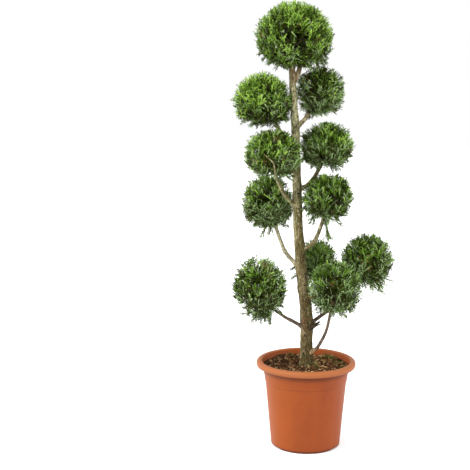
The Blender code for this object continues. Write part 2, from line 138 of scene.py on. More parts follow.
# Burrs on boughs: where along the bough and how long, both as shares, and how much wider
BURRS = (
    ("bough_right_5", 0.16, 0.05, 1.2), ("bough_left_3", 0.45, 0.04, 1), ("bough_left_3", 0.05, 0.1, 3),
    ("bough_left_2", 0.3, 0.05, 0.9), ("bough_right_2", 0.55, 0.06, 0.8), ("bough_right_6", 0.38, 0.03, 1),
    ("bough_right_3", 0.62, 0.05, 0.8), ("bough_left_1", 0.6, 0.05, 0.8), ("bough_left_4", 0.55, 0.05, 0.7),
    ("bough_right_3", 0.42, 0.06, 1.2), ("bough_top", 0.45, 0.35, 2.2),
)

# Root of the lowest left bough, which runs down the trunk's front as a pale ridge, and its end radii
RIDGE_ROUTE = ((-18.5, -8.5, 369.5), (-12.5, -14.8, 360), (-6.2, -18, 351.5), (0.8, -18.5, 342))
RIDGE_RADII = (3.4, 1.1)

# Branch of the second left bough, which shows in front of its ball, and its end radii
BRANCH_ROUTE = (
    (-83, -52, 798), (-88, -78, 812), (-91.7, -110, 824.6), (-92.4, -145.8, 847.8), (-95.7, -158.2, 866.5),
    (-106, -162.5, 878.7), (-118.3, -162.3, 889.3), (-125, -156, 896),
)
BRANCH_RADII = (3.1, 0.9)
SIDE_LIMB_STEPS = 10
SIDE_LIMB_SIDES = 14

# Loose bark flakes: height, angle round the trunk from +X in degrees, length and width
EDGE_FLAKES = (
    (532, 186, 15, 6), (518, 184, 14, 5), (496, 188, 18, 6), (488, 182, 12, 5), (726, 200, 10, 5),
    (300, 192, 12, 5), (430, 352, 12, 5), (612, 348, 10, 4), (655, 176, 10, 4), (719, 205, 4, 11),
    (722, 240, 4, 11), (721, 275, 4, 11), (718, 310, 4, 10), (766, 290, 4, 10), (768, 325, 4, 10),
    (583, 300, 4, 10), (587, 330, 4, 10), (525, 215, 4, 10),
)
RED_FLAKES = (
    (371, 228, 14, 6), (378, 240, 15, 6), (372, 252, 13, 6), (384, 250, 12, 5), (366, 244, 10, 6),
    (389, 234, 10, 5),
)
# The same for flakes strewn at random, in metres and degrees
LOOSE_FLAKE_COUNT = 90
LOOSE_FLAKES = ((0.25, 1.08), (0, 360), (0.005, 0.011), (0.0025, 0.0045))
FLAKE_THICKNESS = 0.0009
FLAKE_LIFT = (0.08, 0.22)
# Rows of points up a flake: place along it, and its width and how far it stands off there, as shares
FLAKE_ROWS = ((0, 0.7, 0), (0.35, 1.0, 0.10), (0.7, 0.9, 0.45), (1, 0.45, 1))

# Short dark twigs on the pruned stub: where along it each starts, its direction and its length
STUB_TWIGS = (
    (0.55, (0.9, -0.2, 0.75), 18), (0.75, (0.8, -0.1, 0.75), 19), (0.9, (1.0, 0.1, 0.5), 17),
    (1.0, (0.8, -0.3, 0.85), 17), (1.0, (1.0, -0.2, -0.05), 15), (0.8, (0.9, 0.2, -0.3), 13),
    (0.6, (0.7, -0.5, -0.25), 13), (0.7, (0.5, -0.4, 0.9), 15), (0.9, (1.0, -0.4, 0.2), 14),
    (0.3, (0.4, -0.7, -0.6), 12), (0.5, (0.6, -0.6, 0.7), 14),
)
STUB_TWIG_RADII = (0.0030, 0.0008)

# Bark shades in display values: worn scales and painted light on the left side, the same high up, bloom and
# painted shade on the right side, flecks, cracks and forks
SHADES = {"pale": (178, 164, 122), "bright": (212, 204, 164), "olive": (84, 80, 44),
          "brown": (98, 70, 40), "dark": (38, 31, 18), "fork": (152, 124, 92)}
BROWN_SHADES = {"pale": (150, 136, 120), "bright": (150, 136, 120), "olive": (78, 70, 54),
                "brown": (92, 72, 58), "dark": (44, 35, 28), "fork": (112, 97, 83)}
PALE_SHADES = dict(SHADES, brown=(140, 126, 100), olive=(128, 124, 96))

# Barks: low, middle and high colour, shades, how dim the shades are, and the heights in metres between
# which the bark goes over from its low to its middle and from that to its high colour
BARK_HEIGHTS = ((0.52, 0.76), (0.70, 0.94))
Bark = namedtuple("Bark", "low middle high shades dimmed heights", defaults=(SHADES, 1, BARK_HEIGHTS))
BARKS = {
    "trunk": Bark((87, 77, 47), (128, 120, 76), (192, 192, 146)),
    "bough": Bark((158, 144, 98), (172, 158, 118), (176, 162, 124)),
    # The third left bough's pale bark is partly painted light, lightest at its low end against the shade
    # there
    "pale": Bark((196, 188, 160), (180, 174, 146), (176, 168, 136), PALE_SHADES, 1,
                 ((0.56, 0.62), (0.64, 0.70))),
    "tipped": Bark((126, 118, 74), (138, 130, 90), (94, 93, 67), SHADES, 1, ((0.54, 0.60), (0.625, 0.650))),
    "brown": Bark((206, 172, 126), (112, 97, 83), (112, 97, 83), BROWN_SHADES, 1, ((0.292, 0.304), (1, 2))),
    "shaded": Bark(*[(88, 75, 56)] * 3, BROWN_SHADES, 0.62),
    # The ridge's pale bark is partly a painted highlight along it
    "ridge": Bark(*[(168, 146, 116)] * 3, BROWN_SHADES),
    "red": Bark(*[(140, 94, 62)] * 3, BROWN_SHADES),
    "olive": Bark(*[(136, 134, 90)] * 3),
    "dark": Bark((58, 46, 30), (62, 50, 34), (70, 58, 40), SHADES, 0.35),
}
BOUGH_BARKS = {"bough_left_2": "olive", "bough_left_3": "pale", "bough_left_4": "brown",
               "bough_right_3": "tipped", "bough_right_5": "brown", "bough_right_6": "shaded",
               "pruned_stub": "dark"}
TWIG_BARK = (58, 50, 32)
# Heights between which the trunk gets its fork's colour, and those of its pale band: from, to and shares
FORK_HEIGHTS = (1.06, 1.11)
PALE_BAND = ((0.455, 0.475, 0.0, 0.40), (0.520, 0.570, 1.0, 0.0))

# Balls: middle, width, height, how much narrower the lower half is as a share, how far loose sprays hang
# below the clipped surface, and the depth at which loose sprays stand out
Ball = namedtuple("Ball", "name limb centre width height egg hang wisp_depth")
BALL_ROWS = (
    ("top", (-44, 0, 1225.5), 231, 203, 0.05, 6, -5),
    ("left_1", (-131.5, -40, 1041), 177, 165, 0.05, 0, -40),
    ("left_2", (-99.5, -85, 892.5), 175, 142, 0.04, 4, -80),
    ("left_3", (-118.5, 50, 736), 167, 176, 0.05, 16, 35),
    ("left_4", (-139, -30, 485), 170, 202, 0.18, 8, -32),
    ("right_1", (32.5, 62, 1065.5), 157, 161, 0.04, 0, 40),
    ("right_2", (53, 30, 907.5), 166, 145, 0.06, 14, 18),
    ("right_3", (60, -30, 762), 158, 147, 0.06, 45, -33),
    ("right_4", (29, 90, 553), 136, 132, 0.05, 10, 70),
    ("right_5", (83, -55, 497), 161, 167, 0.04, 16, -52),
    ("right_6", (183.3, 62, 562.5), 167, 163, 0.05, 50, 24),
)

# Loose sprays at a ball's edge: across and up where each starts, and across and up where it ends
WISPS = {
    "top": (
        (20, 1164, 40, 1148), (-14, 1156, -8, 1134), (0, 1154, 10, 1130), (14, 1156, 29, 1132),
        (34, 1164, 52, 1144), (-136, 1178, -146, 1168), (-125, 1164, -136, 1155), (-110, 1153, -120, 1145),
        (14, 1161, 23, 1142), (31, 1164, 40, 1142), (46, 1170, 52, 1155),
    ),
    "left_1": ((-74, 1010, -60, 984), (-85, 995, -62, 981), (-71, 1001, -52, 987), (-97, 984, -79, 975)),
    "left_2": (
        (-74, 838, -48, 812), (-62, 842, -42, 822), (-86, 848, -71, 823), (-72, 848, -57, 822),
        (-60, 851, -47, 832), (-80, 842, -80, 817),
    ),
    "left_3": (
        (-124, 662, -140, 630), (-110, 664, -114, 636), (-82, 672, -55, 663), (-167, 690, -173, 673),
        (-154, 681, -160, 663), (-139, 675, -143, 658), (-70, 706, -55, 685), (-58, 718, -49, 699),
    ),
    "left_4": (
        (-144, 410, -166, 382), (-132, 425, -122, 386), (-153, 422, -150, 388), (-168, 430, -176, 405),
        (-130, 406, -138, 380), (-114, 404, -105, 379), (-198, 540, -207, 544), (-201, 525, -210, 525),
        (-189, 552, -195, 559), (-174, 561, -173, 570), (-88, 439, -68, 432), (-91, 429, -72, 415),
        (-114, 414, -107, 393), (-123, 414, -118, 396),
    ),
    "right_1": (
        (74, 1113, 83, 1119), (88, 1101, 98, 1107), (94, 1086, 103, 1092), (10, 1010, 16, 995),
        (-20, 1104, -32, 1092), (-14, 1116, -26, 1107),
    ),
    "right_2": (
        (38, 866, -3, 856), (-4, 880, -26, 858), (36, 862, 10, 840), (47, 866, 103, 844),
        (50, 862, 83, 834), (-9, 876, -19, 859), (117, 888, 126, 873), (109, 873, 119, 860),
        (74, 856, 88, 833), (2, 950, -2, 954), (-10, 929, -16, 933),
    ),
    "right_3": (
        (51, 697, 64, 634), (18, 705, 8, 680), (0, 762, -20, 742), (2, 740, -18, 722), (12, 724, -6, 704),
        (75, 712, 86, 692), (-5, 786, -17, 780), (-5, 757, -16, 743), (1, 739, -12, 724),
        (10, 727, -1, 709), (19, 716, 10, 696), (115, 758, 126, 747), (112, 743, 123, 731),
        (108, 793, 116, 798), (51, 695, 57, 664), (58, 669, 64, 635),
    ),
    "right_4": (
        (-14, 540, -49, 526), (-12, 521, -47, 496), (45, 617, 49, 624), (60, 608, 66, 617),
        (69, 587, 76, 596), (9, 611, 8, 619),
    ),
    "right_5": (
        (50, 440, 32, 416), (87, 434, 118, 408), (106, 441, 138, 420), (70, 436, 82, 411),
        (87, 439, 87, 422), (101, 437, 107, 419), (119, 440, 129, 423), (130, 449, 142, 435),
    ),
    "right_6": (
        (165, 513, 177, 482), (177, 516, 195, 479), (186, 516, 213, 470), (192, 519, 230, 461),
        (201, 520, 231, 479), (210, 523, 233, 498), (171, 519, 189, 494), (198, 513, 219, 485),
        (183, 513, 204, 488), (156, 516, 165, 497), (219, 529, 236, 513),
    ),
}
WISP_STEP = 0.0045
WISP_SPREAD = 0.22
WISP_ROOT = 0.018
WISP_LONGEST = 0.030
WISP_RADII = (0.0014, 0.0011, 0.0008)
SKIRT_RADII = (0.0014, 0.0011, 0.0007)

# Places where sky shows through a ball: across and up to the middle of each, and its radius
GAPS = {
    "top": ((22, 1144, 8),),
    "left_2": ((-130, 826, 16),),
    "left_3": ((-122, 719, 5), (-95, 680, 7), (-53, 788, 15)),
    "left_4": ((-94, 455, 10), (-86, 436, 12), (-209, 434, 33)),
    "right_1": ((-19, 1129, 6), (-29, 1045, 17), (97, 1028, 18), (-14, 1053, 10), (84, 1007, 12)),
    "right_2": (
        (0, 845, 12), (15, 842, 12), (30, 841, 12), (59, 839, 12), (74, 838, 12), (89, 839, 12),
        (103, 841, 12),
    ),
    "right_4": ((-36, 575, 26), (-4, 486, 14)),
    "right_5": ((86, 472, 8), (124, 479, 12), (30, 476, 14)),
}
GAP_DEPTH = 4.0

# Dark hollows in a ball's front, where its sprays part: across and up, and the radius of each
HOLLOWS = {
    "top": ((-57, 1229, 13), (-56, 1212, 12), (-21, 1216, 16), (-20, 1197, 16), (-97, 1174, 10)),
    "left_1": ((-119, 1003, 12), (-101, 1065, 8)),
    "left_2": (
        (-92, 836, 6.5), (-92.4, 848, 6.2), (-93.8, 858, 6), (-95.7, 867, 6), (-101, 873, 5.2),
        (-106, 879, 5), (-112, 884, 4.5), (-118.3, 889, 4), (-109, 865, 9),
    ),
    "left_3": ((-126, 780, 10), (-117, 751, 9)),
    "left_4": ((-144, 524, 11), (-130, 478, 10)),
    "right_1": ((12, 1072, 14), (10, 1023, 11)),
    "right_2": ((60, 924, 9), (38, 880, 12)),
    "right_5": ((81, 501, 10), (114, 455, 7), (56, 485, 9), (99, 492, 10)),
    "right_6": ((200, 565, 9),),
}
HOLLOW_FRONT = 0.85
HOLLOW_DEPTH = 2.6

# Patches of rusty sprays on a ball's front: across and up, and the radius of each
RUSTY = {
    "top": ((38, 1222, 12),),
    "left_2": ((-70, 900, 8), (-100, 885, 10)),
    "left_4": ((-170, 440, 8),),
    "right_1": ((-12, 1110, 10),),
    "right_3": ((6, 764, 10),),
    "right_5": ((110, 530, 8),),
    "right_6": ((183, 575, 12),),
}

# Foliage tints from the brightest young tips to the dark inside, whose darkness is partly painted shade,
# greyed ones and rust, in linear colour
TINTS = {
    "tip": (0.385, 0.585, 0.100),
    "fresh": (0.213, 0.372, 0.052),
    "mid": (0.118, 0.228, 0.026),
    "dark": (0.060, 0.111, 0.008),
    "deep": (0.025, 0.035, 0.003),
    "pale": (0.380, 0.525, 0.225),
    "grey": (0.246, 0.345, 0.148),
    "sage": (0.133, 0.205, 0.068),
    "dusk": (0.075, 0.089, 0.026),
    "rust": (0.185, 0.115, 0.040),
}
TIP, FRESH, MID, DARK, DEEP, PALE, GREY, SAGE, DUSK, RUST = range(len(TINTS))
# What each green turns into in greyish sprays, and how many times more of its sprays are greyish
GREYED = ((TIP, PALE, 4.0), (FRESH, GREY, 2.5), (MID, SAGE, 1.0), (DARK, DUSK, 1.0))
TINT_STEPS = (-0.60, -0.50, -0.38, -0.26)
LOOSE_TINTS = (MID, SAGE, DUSK, DUSK, GREY)

# How much brighter a ball's sprays are than the rest, painted light and shade that evens out how much
# light each ball gets, how much they differ among themselves, how much brighter they get towards the
# ball's top and its right, which is painted light and shade by where the light falls, the share of
# greyish sprays, and how much that share grows towards the ball's bottom and its right
Tone = namedtuple("Tone", "shift variety upward rightward grey dull dull_right")
TONES = {
    "top": (-0.03, 0.22, 0.19, 0.02, 0.04, 0.30, 0.00),
    "left_1": (-0.03, 0.23, 0.28, -0.13, 0.02, 0.50, 0.20),
    "left_2": (-0.03, 0.20, 0.05, -0.02, 0.06, 0.80, 0.15),
    "left_3": (-0.03, 0.22, 0.08, 0.08, 0.13, 1.00, 0.20),
    "left_4": (-0.07, 0.19, 0.08, 0.02, 0.13, 1.10, 0.12),
    "right_1": (0.00, 0.22, -0.18, 0.04, 0.16, 0.75, -0.25),
    "right_2": (-0.02, 0.21, -0.04, 0.05, 0.10, 0.85, -0.40),
    "right_3": (-0.03, 0.20, -0.02, -0.02, 0.08, 0.90, -0.10),
    "right_4": (0.23, 0.36, -0.02, 0.06, 0.18, 0.60, -0.20),
    "right_5": (-0.01, 0.16, -0.03, -0.03, 0.22, 1.00, 0.00),
    "right_6": (0.00, 0.20, 0.03, -0.08, 0.12, 0.80, 0.00),
}
DULL_TOP = 0.50
DULL_RANGE = 0.90

# Tufts of sprays by layer: tufts for each square metre of clipped surface, sprays in a tuft, the share
# of narrow ones, how broad they are, where their tips lie as shares of the reach, their length, how many
# tints darker they are than the outer ones, which is painted shade deep in the ball as well as the
# darker older foliage there, and the share of open places
Layer = namedtuple("Layer", "density sprays narrow broad low high length darker open_share")
LAYERS = (
    Layer(4400, 4, 0.90, 1.0, 0.97, 1.02, 0.029, 0, 0.34),
    Layer(3500, 2, 0.50, 1.0, 0.92, 0.99, 0.031, 1, 0.28),
    Layer(2600, 2, 0.30, 1.1, 0.78, 0.91, 0.036, 2, 0.18),
    Layer(1300, 2, 0.00, 1.8, 0.50, 0.74, 0.042, 3, 0.05),
)
SPRAY_TEMPLATES = 12
SPRAY_RISE = 1.5
SPRAY_RISE_LOW = 0.15
SPRAY_FAN = 0.55
SPRAY_SHORTEST = 0.010
SPRAY_LONGEST = 0.055
SPRAY_LENGTHS = (0.70, 1.25)
SPRAY_SHIFTS = (-0.03, 0.02)
TUFT_LENGTHS = (0.8, 1.15)
TUFT_JITTER = 0.05
LEAN_JITTER = 0.22
ROOT_JITTER = 0.003
TIP_CLEARANCE = 0.002
ROOT_CLEARANCE = 0.001
LUMP_SHARE = 0.035
# A ball's underside: how low it starts, over how much of the height it sets in, and how much opener it is
UNDERSIDE = (0.25, 0.6, 0.12)
# Height of the noise above which sprays are rusty, and the share of sprays that stay green there
RUST_CLUMP = 0.80
RUST_SPARED = 0.45
# Noise in a ball: its scale, how far it moves on from ball to ball, and where it starts
LUMP_NOISE = (2.6, 5.3, 0)
OPEN_NOISE = (26, 3.1, 40)
TINT_NOISE = (42, 7.7, 11)
RUST_NOISE = (34, 2.9, 70)
STALK_WIDTH = 0.0026
STRAND_WIDTH = 0.0019
GREY_WIDTH = 0.8
TWIGLET_WIDTH = 0.0018

# Stem and twigs in a ball: radii as shares of the limb's tip or of the twig's foot, and how many twigs
# a small and a wide ball have
WIDE_BALL = 0.2
STEM_SHARES = (0.96, 0.78, 0.42)
TWIG_SHARES = (1, 0.8, 0.55)
END_SHARES = (0.5, 0.35)
FORKS, FORKS_WIDE = 20, 32
SKIRT_TWIGS, SKIRT_TWIGS_WIDE = 15, 20
SKIRT_DROPS = (-0.92, -0.58)
SKIRT_SPRAYS = (0.45, 0.70, 0.90, 0.90, 1.0, 1.0)
SKIRT_LENGTHS = (0.014, 0.026)
LOOSE_NARROW = 0.7

# Pot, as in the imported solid, with the finer turns of its moulding
POT_HEIGHT = 0.262
POT_WALL = 0.003
POT_FLOOR = 0.004
POT_FOOT_RADIUS = 0.1045
POT_FOOT_ROUND = 0.007
POT_STAND_WIDTH = 0.016
FOOT_INSET = 0.0050
FOOT_INSET_HEIGHT = 0.0018
FOOT_CURVE = 0.0030
POT_WAIST_HEIGHT = 0.191
POT_WAIST_RADIUS = 0.1217
POT_STEP_HEIGHT = 0.200
POT_RIM_HEIGHT = 0.0178
POT_RIM_RADIUS = 0.1500
POT_MOUTH_RADIUS = 0.1325
RIM_CURVE = 0.0095
MOUTH_CURVE = 0.0062
LIP_RADIUS = 0.0013
POT_SEGMENTS = 192
DRAIN_HOLES = 6
DRAIN_HOLE_RADIUS = 0.006
DRAIN_RING_RADIUS = 0.070

# Notches in the foot for water to run out: angles round from +X and half width in degrees, how steep
# their ends are, height, depth, and the rows of the profile that they reach
FOOT_NOTCHES = (-30, 90, 210)
NOTCH_HALF_TURN = 12
NOTCH_EDGE = 14
NOTCH_HEIGHT = 0.0045
NOTCH_DEPTH = 0.0035
NOTCH_ROWS = 12

# Lines of painted shade on the pot under its rim, on the rim's lower half, in the crease at its step and at
# its foot: bottom, darkest, top and share
SHADED_LINES = ((0.222, 0.2390, 0.2450, 0.75), (0.2441, 0.2443, 0.2560, 0.28),
                (0.1955, 0.1985, 0.2002, 0.36), (-0.001, 0.0040, 0.0095, 0.95))

# Soil, and its heaps and cushions of moss by place, width and height
SOIL_TOP = 0.2400
SOIL_RADIUS = 0.1274
SOIL_RINGS = 40
SOIL_SEGMENTS = 150
SOIL_HEAPS = (
    (-62, 88, 40, 8.5), (-105, 28, 35, 4.5), (70, 78, 36, 5), (106, 6, 25, 3),
)
MOSS_SPOTS = (
    (105, 12, 17, 6), (112, -30, 12, 5), (62, 80, 22, 7), (88, 62, 14, 5), (-50, 88, 13, 4),
    (34, -30, 11, 4), (-20, 100, 12, 4),
)
PALE_MOSS_SPOTS = (
    (30, 20, 10, 6), (29, 0, 11, 7), (26, -18, 8, 3),
)
SOIL_RISES = metres(MOSS_SPOTS + PALE_MOSS_SPOTS + SOIL_HEAPS).tolist()
MOSS_DENSITY = 9e5
MOSS_WIDTH = 0.0016

# Dark and light colour of earth and moss in display values
EARTH = ((38, 24, 12), (88, 60, 34))
MOSS = ((62, 74, 26), (128, 134, 66))
PALE_MOSS = ((112, 104, 58), (176, 164, 104))

# Bark chips: how many, their least and greatest length, and their colour in display values
CHIPS = (
    ("soil_chips_dark", 620, (6, 17), (64, 41, 22)),
    ("soil_chips_red", 330, (6, 18), (108, 68, 38)),
    ("soil_chips_brown", 380, (6, 18), (138, 102, 64)),
    ("soil_chips_tan", 210, (5, 16), (192, 158, 114)),
)
CHIP_SHADE = 0.70
CHIP_WIDTHS = (0.30, 0.7)
CHIP_HEIGHTS = (0.15, 0.4)
TRUNK_CLEARANCE = 0.021


def linear(*colour):
    """Linear colour from display values."""
    return tuple((v / 255 / 12.92 if v < 10.3 else ((v / 255 + 0.055) / 1.055) ** 2.4) for v in colour)


def scaled(values, share):
    return tuple(v * share for v in values)


def unit(vectors):
    return vectors / np.maximum(np.linalg.norm(vectors, axis=-1, keepdims=True), 1e-12)


def spoke(degrees):
    """Direction level with the ground at an angle round from +X."""
    angle = math.radians(degrees)
    return np.array((math.cos(angle), math.sin(angle), 0))


def circle(steps):
    """Angles evenly round a circle."""
    return np.arange(steps) * 2 * math.pi / steps


def stacked(rows):
    """The columns of a list of rows, each as an array."""
    return [np.array(column) for column in zip(*rows)]


def joined(lots):
    """The columns of a list of lots, each joined end to end."""
    return [np.concatenate(column) for column in zip(*lots)]


def link(thing):
    bpy.context.scene.collection.objects.link(thing)
    return thing


def mesh_object(name, points, faces, finish):
    """An object from an array of points and an array of faces that all have one count of corners."""
    faces = np.asarray(faces, np.int32)
    mesh = bpy.data.meshes.new(name)
    mesh.vertices.add(len(points))
    mesh.vertices.foreach_set("co", np.asarray(points, np.float32).ravel())
    mesh.loops.add(faces.size)
    mesh.loops.foreach_set("vertex_index", faces.ravel())
    mesh.polygons.add(len(faces))
    mesh.polygons.foreach_set("loop_start", np.arange(len(faces), dtype=np.int32) * faces.shape[1])
    mesh.update(calc_edges=True)
    mesh.polygons.foreach_set("use_smooth", np.zeros(len(faces), bool))
    mesh.materials.append(finish)
    return link(bpy.data.objects.new(name, mesh))


def shape_mesh(name, shape):
    """The mesh of a finished bmesh."""
    mesh = bpy.data.meshes.new(name)
    shape.to_mesh(mesh)
    shape.free()
    return mesh


def tube_object(name, grid, finish):
    """A smooth closed tube through a grid of points, with fans of triangles over its ends."""
    columns = grid.shape[1]
    shape = bmesh.new()
    rings = [[shape.verts.new(point) for point in ring] for ring in grid]
    for low, high in zip(rings, rings[1:]):
        for i in range(columns):
            j = (i + 1) % columns
            shape.faces.new((low[i], low[j], high[j], high[i]))
    for ring, turn in ((rings[0], -1), (rings[-1], 1)):
        middle = shape.verts.new(sum((v.co for v in ring), Vector()) / columns)
        for i in range(columns):
            pair = (ring[i], ring[(i + 1) % columns])
            shape.faces.new((*pair[::turn], middle))
    bmesh.ops.recalc_face_normals(shape, faces=shape.faces)
    mesh = shape_mesh(name, shape)
    mesh.materials.append(finish)
    mesh.shade_smooth()
    mesh.set_sharp_from_angle(angle=math.radians(60))
    return link(bpy.data.objects.new(name, mesh))


def settle(piece, slot, *nodes):
    """Puts a piece on the plant's one body and hides the solids that it stands for; the slot is not used."""
    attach(piece, "root")
    if nodes:
        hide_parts(*nodes)


class Nodes:
    """Short calls for building a material's node tree."""

    def __init__(self, name):
        self.material = bpy.data.materials.new(name)
        self.material.use_nodes = True
        self.tree = self.material.node_tree
        self.shader = self.tree.nodes["Principled BSDF"]

    def feed(self, node, inputs):
        """Sets a node's inputs, each to another node's output or to a plain value."""
        for key, value in inputs.items():
            socket = node.inputs[key]
            if isinstance(value, bpy.types.NodeSocket):
                self.tree.links.new(value, socket)
            else:
                socket.default_value = (*value, 1) if socket.type == "RGBA" else value
        return node

    def new(self, kind, inputs, **settings):
        node = self.tree.nodes.new("ShaderNode" + kind)
        for key, value in settings.items():
            setattr(node, key, value)
        return self.feed(node, inputs)

    def finish(self, colour, roughness, **more):
        """Sets the shader's colour and roughness, and other inputs by name with _ for each space."""
        inputs = {"Base Color": colour, "Roughness": roughness}
        self.feed(self.shader, inputs | {key.replace("_", " "): value for key, value in more.items()})

    def place(self, scale=(1, 1, 1)):
        """Object coordinates, stretched."""
        coords = self.new("TexCoord", {}).outputs["Object"]
        return self.new("Mapping", {"Vector": coords, "Scale": scale}).outputs["Vector"]

    def noise(self, where, scale, detail=4, roughness=0.55):
        inputs = {"Vector": where, "Scale": scale, "Detail": detail, "Roughness": roughness}
        return self.new("TexNoise", inputs).outputs["Fac"]

    def mix(self, share, first, second):
        return self.new("Mix", {"Factor": share, 6: first, 7: second}, data_type="RGBA").outputs[2]

    def spread(self, value, low, high, out_low=0.0, out_high=1.0):
        """A value carried over from one range to another, and held at the ends."""
        inputs = {"Value": value, "From Min": low, "From Max": high, "To Min": out_low, "To Max": out_high}
        return self.new("MapRange", inputs).outputs["Result"]

    def cover(self, under, colour, value, *limits):
        """A colour laid over another by a share that is spread from a value."""
        return self.mix(self.spread(value, *limits), under, colour)

    def times(self, first, second):
        return self.new("Math", {0: first, 1: second}, operation="MULTIPLY").outputs["Value"]

    def split(self, axis, vector=None):
        """One coordinate of a vector, or of the place in the plant."""
        return self.new("SeparateXYZ", {"Vector": vector or self.place()}).outputs[axis]

    def facing(self):
        """How far the surface faces the right, from -1 to 1."""
        return self.split("X", self.new("TexCoord", {}).outputs["Normal"])

    def radius(self):
        """Distance from the plant's upright axis."""
        return self.new("VectorMath", {0: self.place((1, 1, 0))}, operation="LENGTH").outputs["Value"]

    def bump(self, value, depth, strength=1.0):
        made = self.new("Bump", {"Distance": depth, "Strength": strength, "Height": value})
        self.feed(self.shader, {"Normal": made.outputs["Normal"]})


def leaf_material(tint):
    """A plain tint with the fine overlapping scales of cypress leaves as bump."""
    made = Nodes("leaf_" + tint)
    made.finish(TINTS[tint], 0.7, Specular_IOR_Level=0.05)
    made.bump(made.noise(made.place(), 900, 2), 0.0004, 0.5)
    return made.material


def twig_material():
    made = Nodes("twig_bark")
    made.finish(linear(*TWIG_BARK), 0.8)
    made.bump(made.noise(made.place(), 700), 0.0004)
    return made.material


def bark_material(name):
    """Streaky scaly bark: mottled browns, olive bloom in patches, pale worn scales and dark cracks, with
    painted light that makes its left side pale and painted shade that makes its right side olive.
    """
    bark = BARKS[name]
    shade = {key: scaled(linear(*colour), bark.dimmed) for key, colour in bark.shades.items()}
    made = Nodes(name + "_bark")
    mottle = made.noise(made.place((1, 1, 0.45)), 135, 4, 0.6)
    patches = made.noise(made.place((1, 1, 0.6)), 42, 3, 0.5)
    fibres = made.noise(made.place((1, 1, 0.30)), 300, 4, 0.6)
    flecks = made.noise(made.place((1, 1, 0.5)), 200, 3, 0.6)
    height, facing = made.split("Z"), made.facing()
    base = made.cover(linear(*bark.low), linear(*bark.middle), height, *bark.heights[0])
    base = made.cover(base, linear(*bark.high), height, *bark.heights[1])
    base = made.cover(base, shade["fork"], height, *FORK_HEIGHTS)
    band = made.times(*(made.spread(height, *limits) for limits in PALE_BAND))
    base = made.mix(band, base, shade["pale"])
    scales = made.cover(shade["pale"], shade["bright"], height, *bark.heights[0])
    # Painted light: the side that faces left, where the key light falls, takes the pale colour of worn scales
    coat = made.cover(base, scales, facing, -0.3, -0.9, 0.0, 0.60)
    worn = made.times(made.spread(mottle, 0.52, 0.60), made.spread(height, 0.52, 0.74, 0.40, 0.95))
    coat = made.mix(worn, coat, scales)
    for colour, value, limits in (
        # Painted shade: the side that faces right turns olive; the olive patches below are bloom
        ("olive", facing, (0.15, 0.85, 0.0, 0.60)),
        ("olive", patches, (0.47, 0.57, 0.0, 0.60)),
        ("brown", flecks, (0.53, 0.60, 0.0, 0.75)),
        ("dark", fibres, (0.39, 0.47, 0.90, 0.0)),
    ):
        coat = made.cover(coat, shade[colour], value, *limits)
    made.finish(coat, made.spread(mottle, 0.3, 0.7, 0.95, 0.75), Specular_IOR_Level=0.15)
    made.bump(fibres, 0.0014, 0.9)
    return made.material


def pot_material():
    """Moulded terracotta-coloured plastic, a little mottled and dusty, with faint flow lines, painted light
    on its left and right sides and bands of painted shade.
    """
    made = Nodes("terracotta_plastic")
    cloud = made.noise(made.place((1, 1, 0.6)), 14, 5, 0.6)
    flow = made.noise(made.place((1, 1, 0.05)), 45, 3, 0.5)
    grit = made.noise(made.place(), 150, 4, 0.7)
    height, facing = made.split("Z"), made.facing()
    coat = made.cover(linear(129, 57, 20), linear(141, 66, 24), cloud, 0.35, 0.65)
    # Painted light: the side that faces left, towards the key light, is lighter and more orange
    coat = made.cover(coat, linear(158, 80, 24), facing, 0.10, -1.0, 0.0, 0.60)
    # Painted light: the side that faces right is lighter too
    coat = made.cover(coat, linear(150, 72, 32), facing, 0.35, 0.95, 0.0, 0.50)
    coat = made.cover(coat, linear(160, 76, 30), flow, 0.45, 0.75, 0.0, 0.12)
    rim = made.spread(height, 0.240, 0.248)
    mouth = made.spread(made.radius(), POT_MOUTH_RADIUS, POT_MOUTH_RADIUS + 0.002, 1.0, 0.0)
    coat = made.mix(made.times(rim, mouth), made.mix(rim, coat, linear(161, 95, 53)), linear(172, 87, 38))
    # Painted shade: dark bands under the rim, on the rim's lower half, in the step's crease and along the
    # foot
    for low, middle, top, share in SHADED_LINES:
        climb, fade = made.spread(height, low, middle, 0.0, share), made.spread(height, middle, top, 1.0, 0.0)
        coat = made.mix(made.times(climb, fade), coat, linear(74, 32, 12))
    coat = made.cover(coat, linear(174, 112, 74), grit, 0.62, 0.80, 0.0, 0.30)
    made.finish(coat, made.spread(cloud, 0.3, 0.7, 0.40, 0.54), Specular_IOR_Level=0.16)
    made.bump(made.noise(made.place(), 1400, 2), 0.00025, 0.35)
    return made.material


def soil_material(name, dark, light):
    """Grainy earth, with painted light that makes it paler right of the trunk, a painted shadow of the rim
    that darkens it by the pot's wall on the left, and darker again by the wall on the right.
    """
    made = Nodes(name)
    grain = made.noise(made.place(), 260, 5, 0.65)
    across = made.split("X")
    dark, light = linear(*dark), linear(*light)
    wall_dark = scaled(dark, 0.6)
    coat = made.cover(dark, light, grain, 0.35, 0.68)
    # Painted light: paler right of the trunk, where the tree shades the soil
    coat = made.cover(coat, scaled(light, 1.5), across, 0.0, 0.07, 0.0, 0.5)
    # Painted shadow of the rim: darker by the pot's wall on the left
    coat = made.cover(coat, wall_dark, across, -0.05, -0.115, 0.0, 0.6)
    # Darker by the pot's wall on the right
    coat = made.cover(coat, wall_dark, across, 0.055, 0.10, 0.0, 0.5)
    made.finish(coat, 0.95, Specular_IOR_Level=0.1)
    made.bump(grain, 0.002, 0.9)
    return made.material


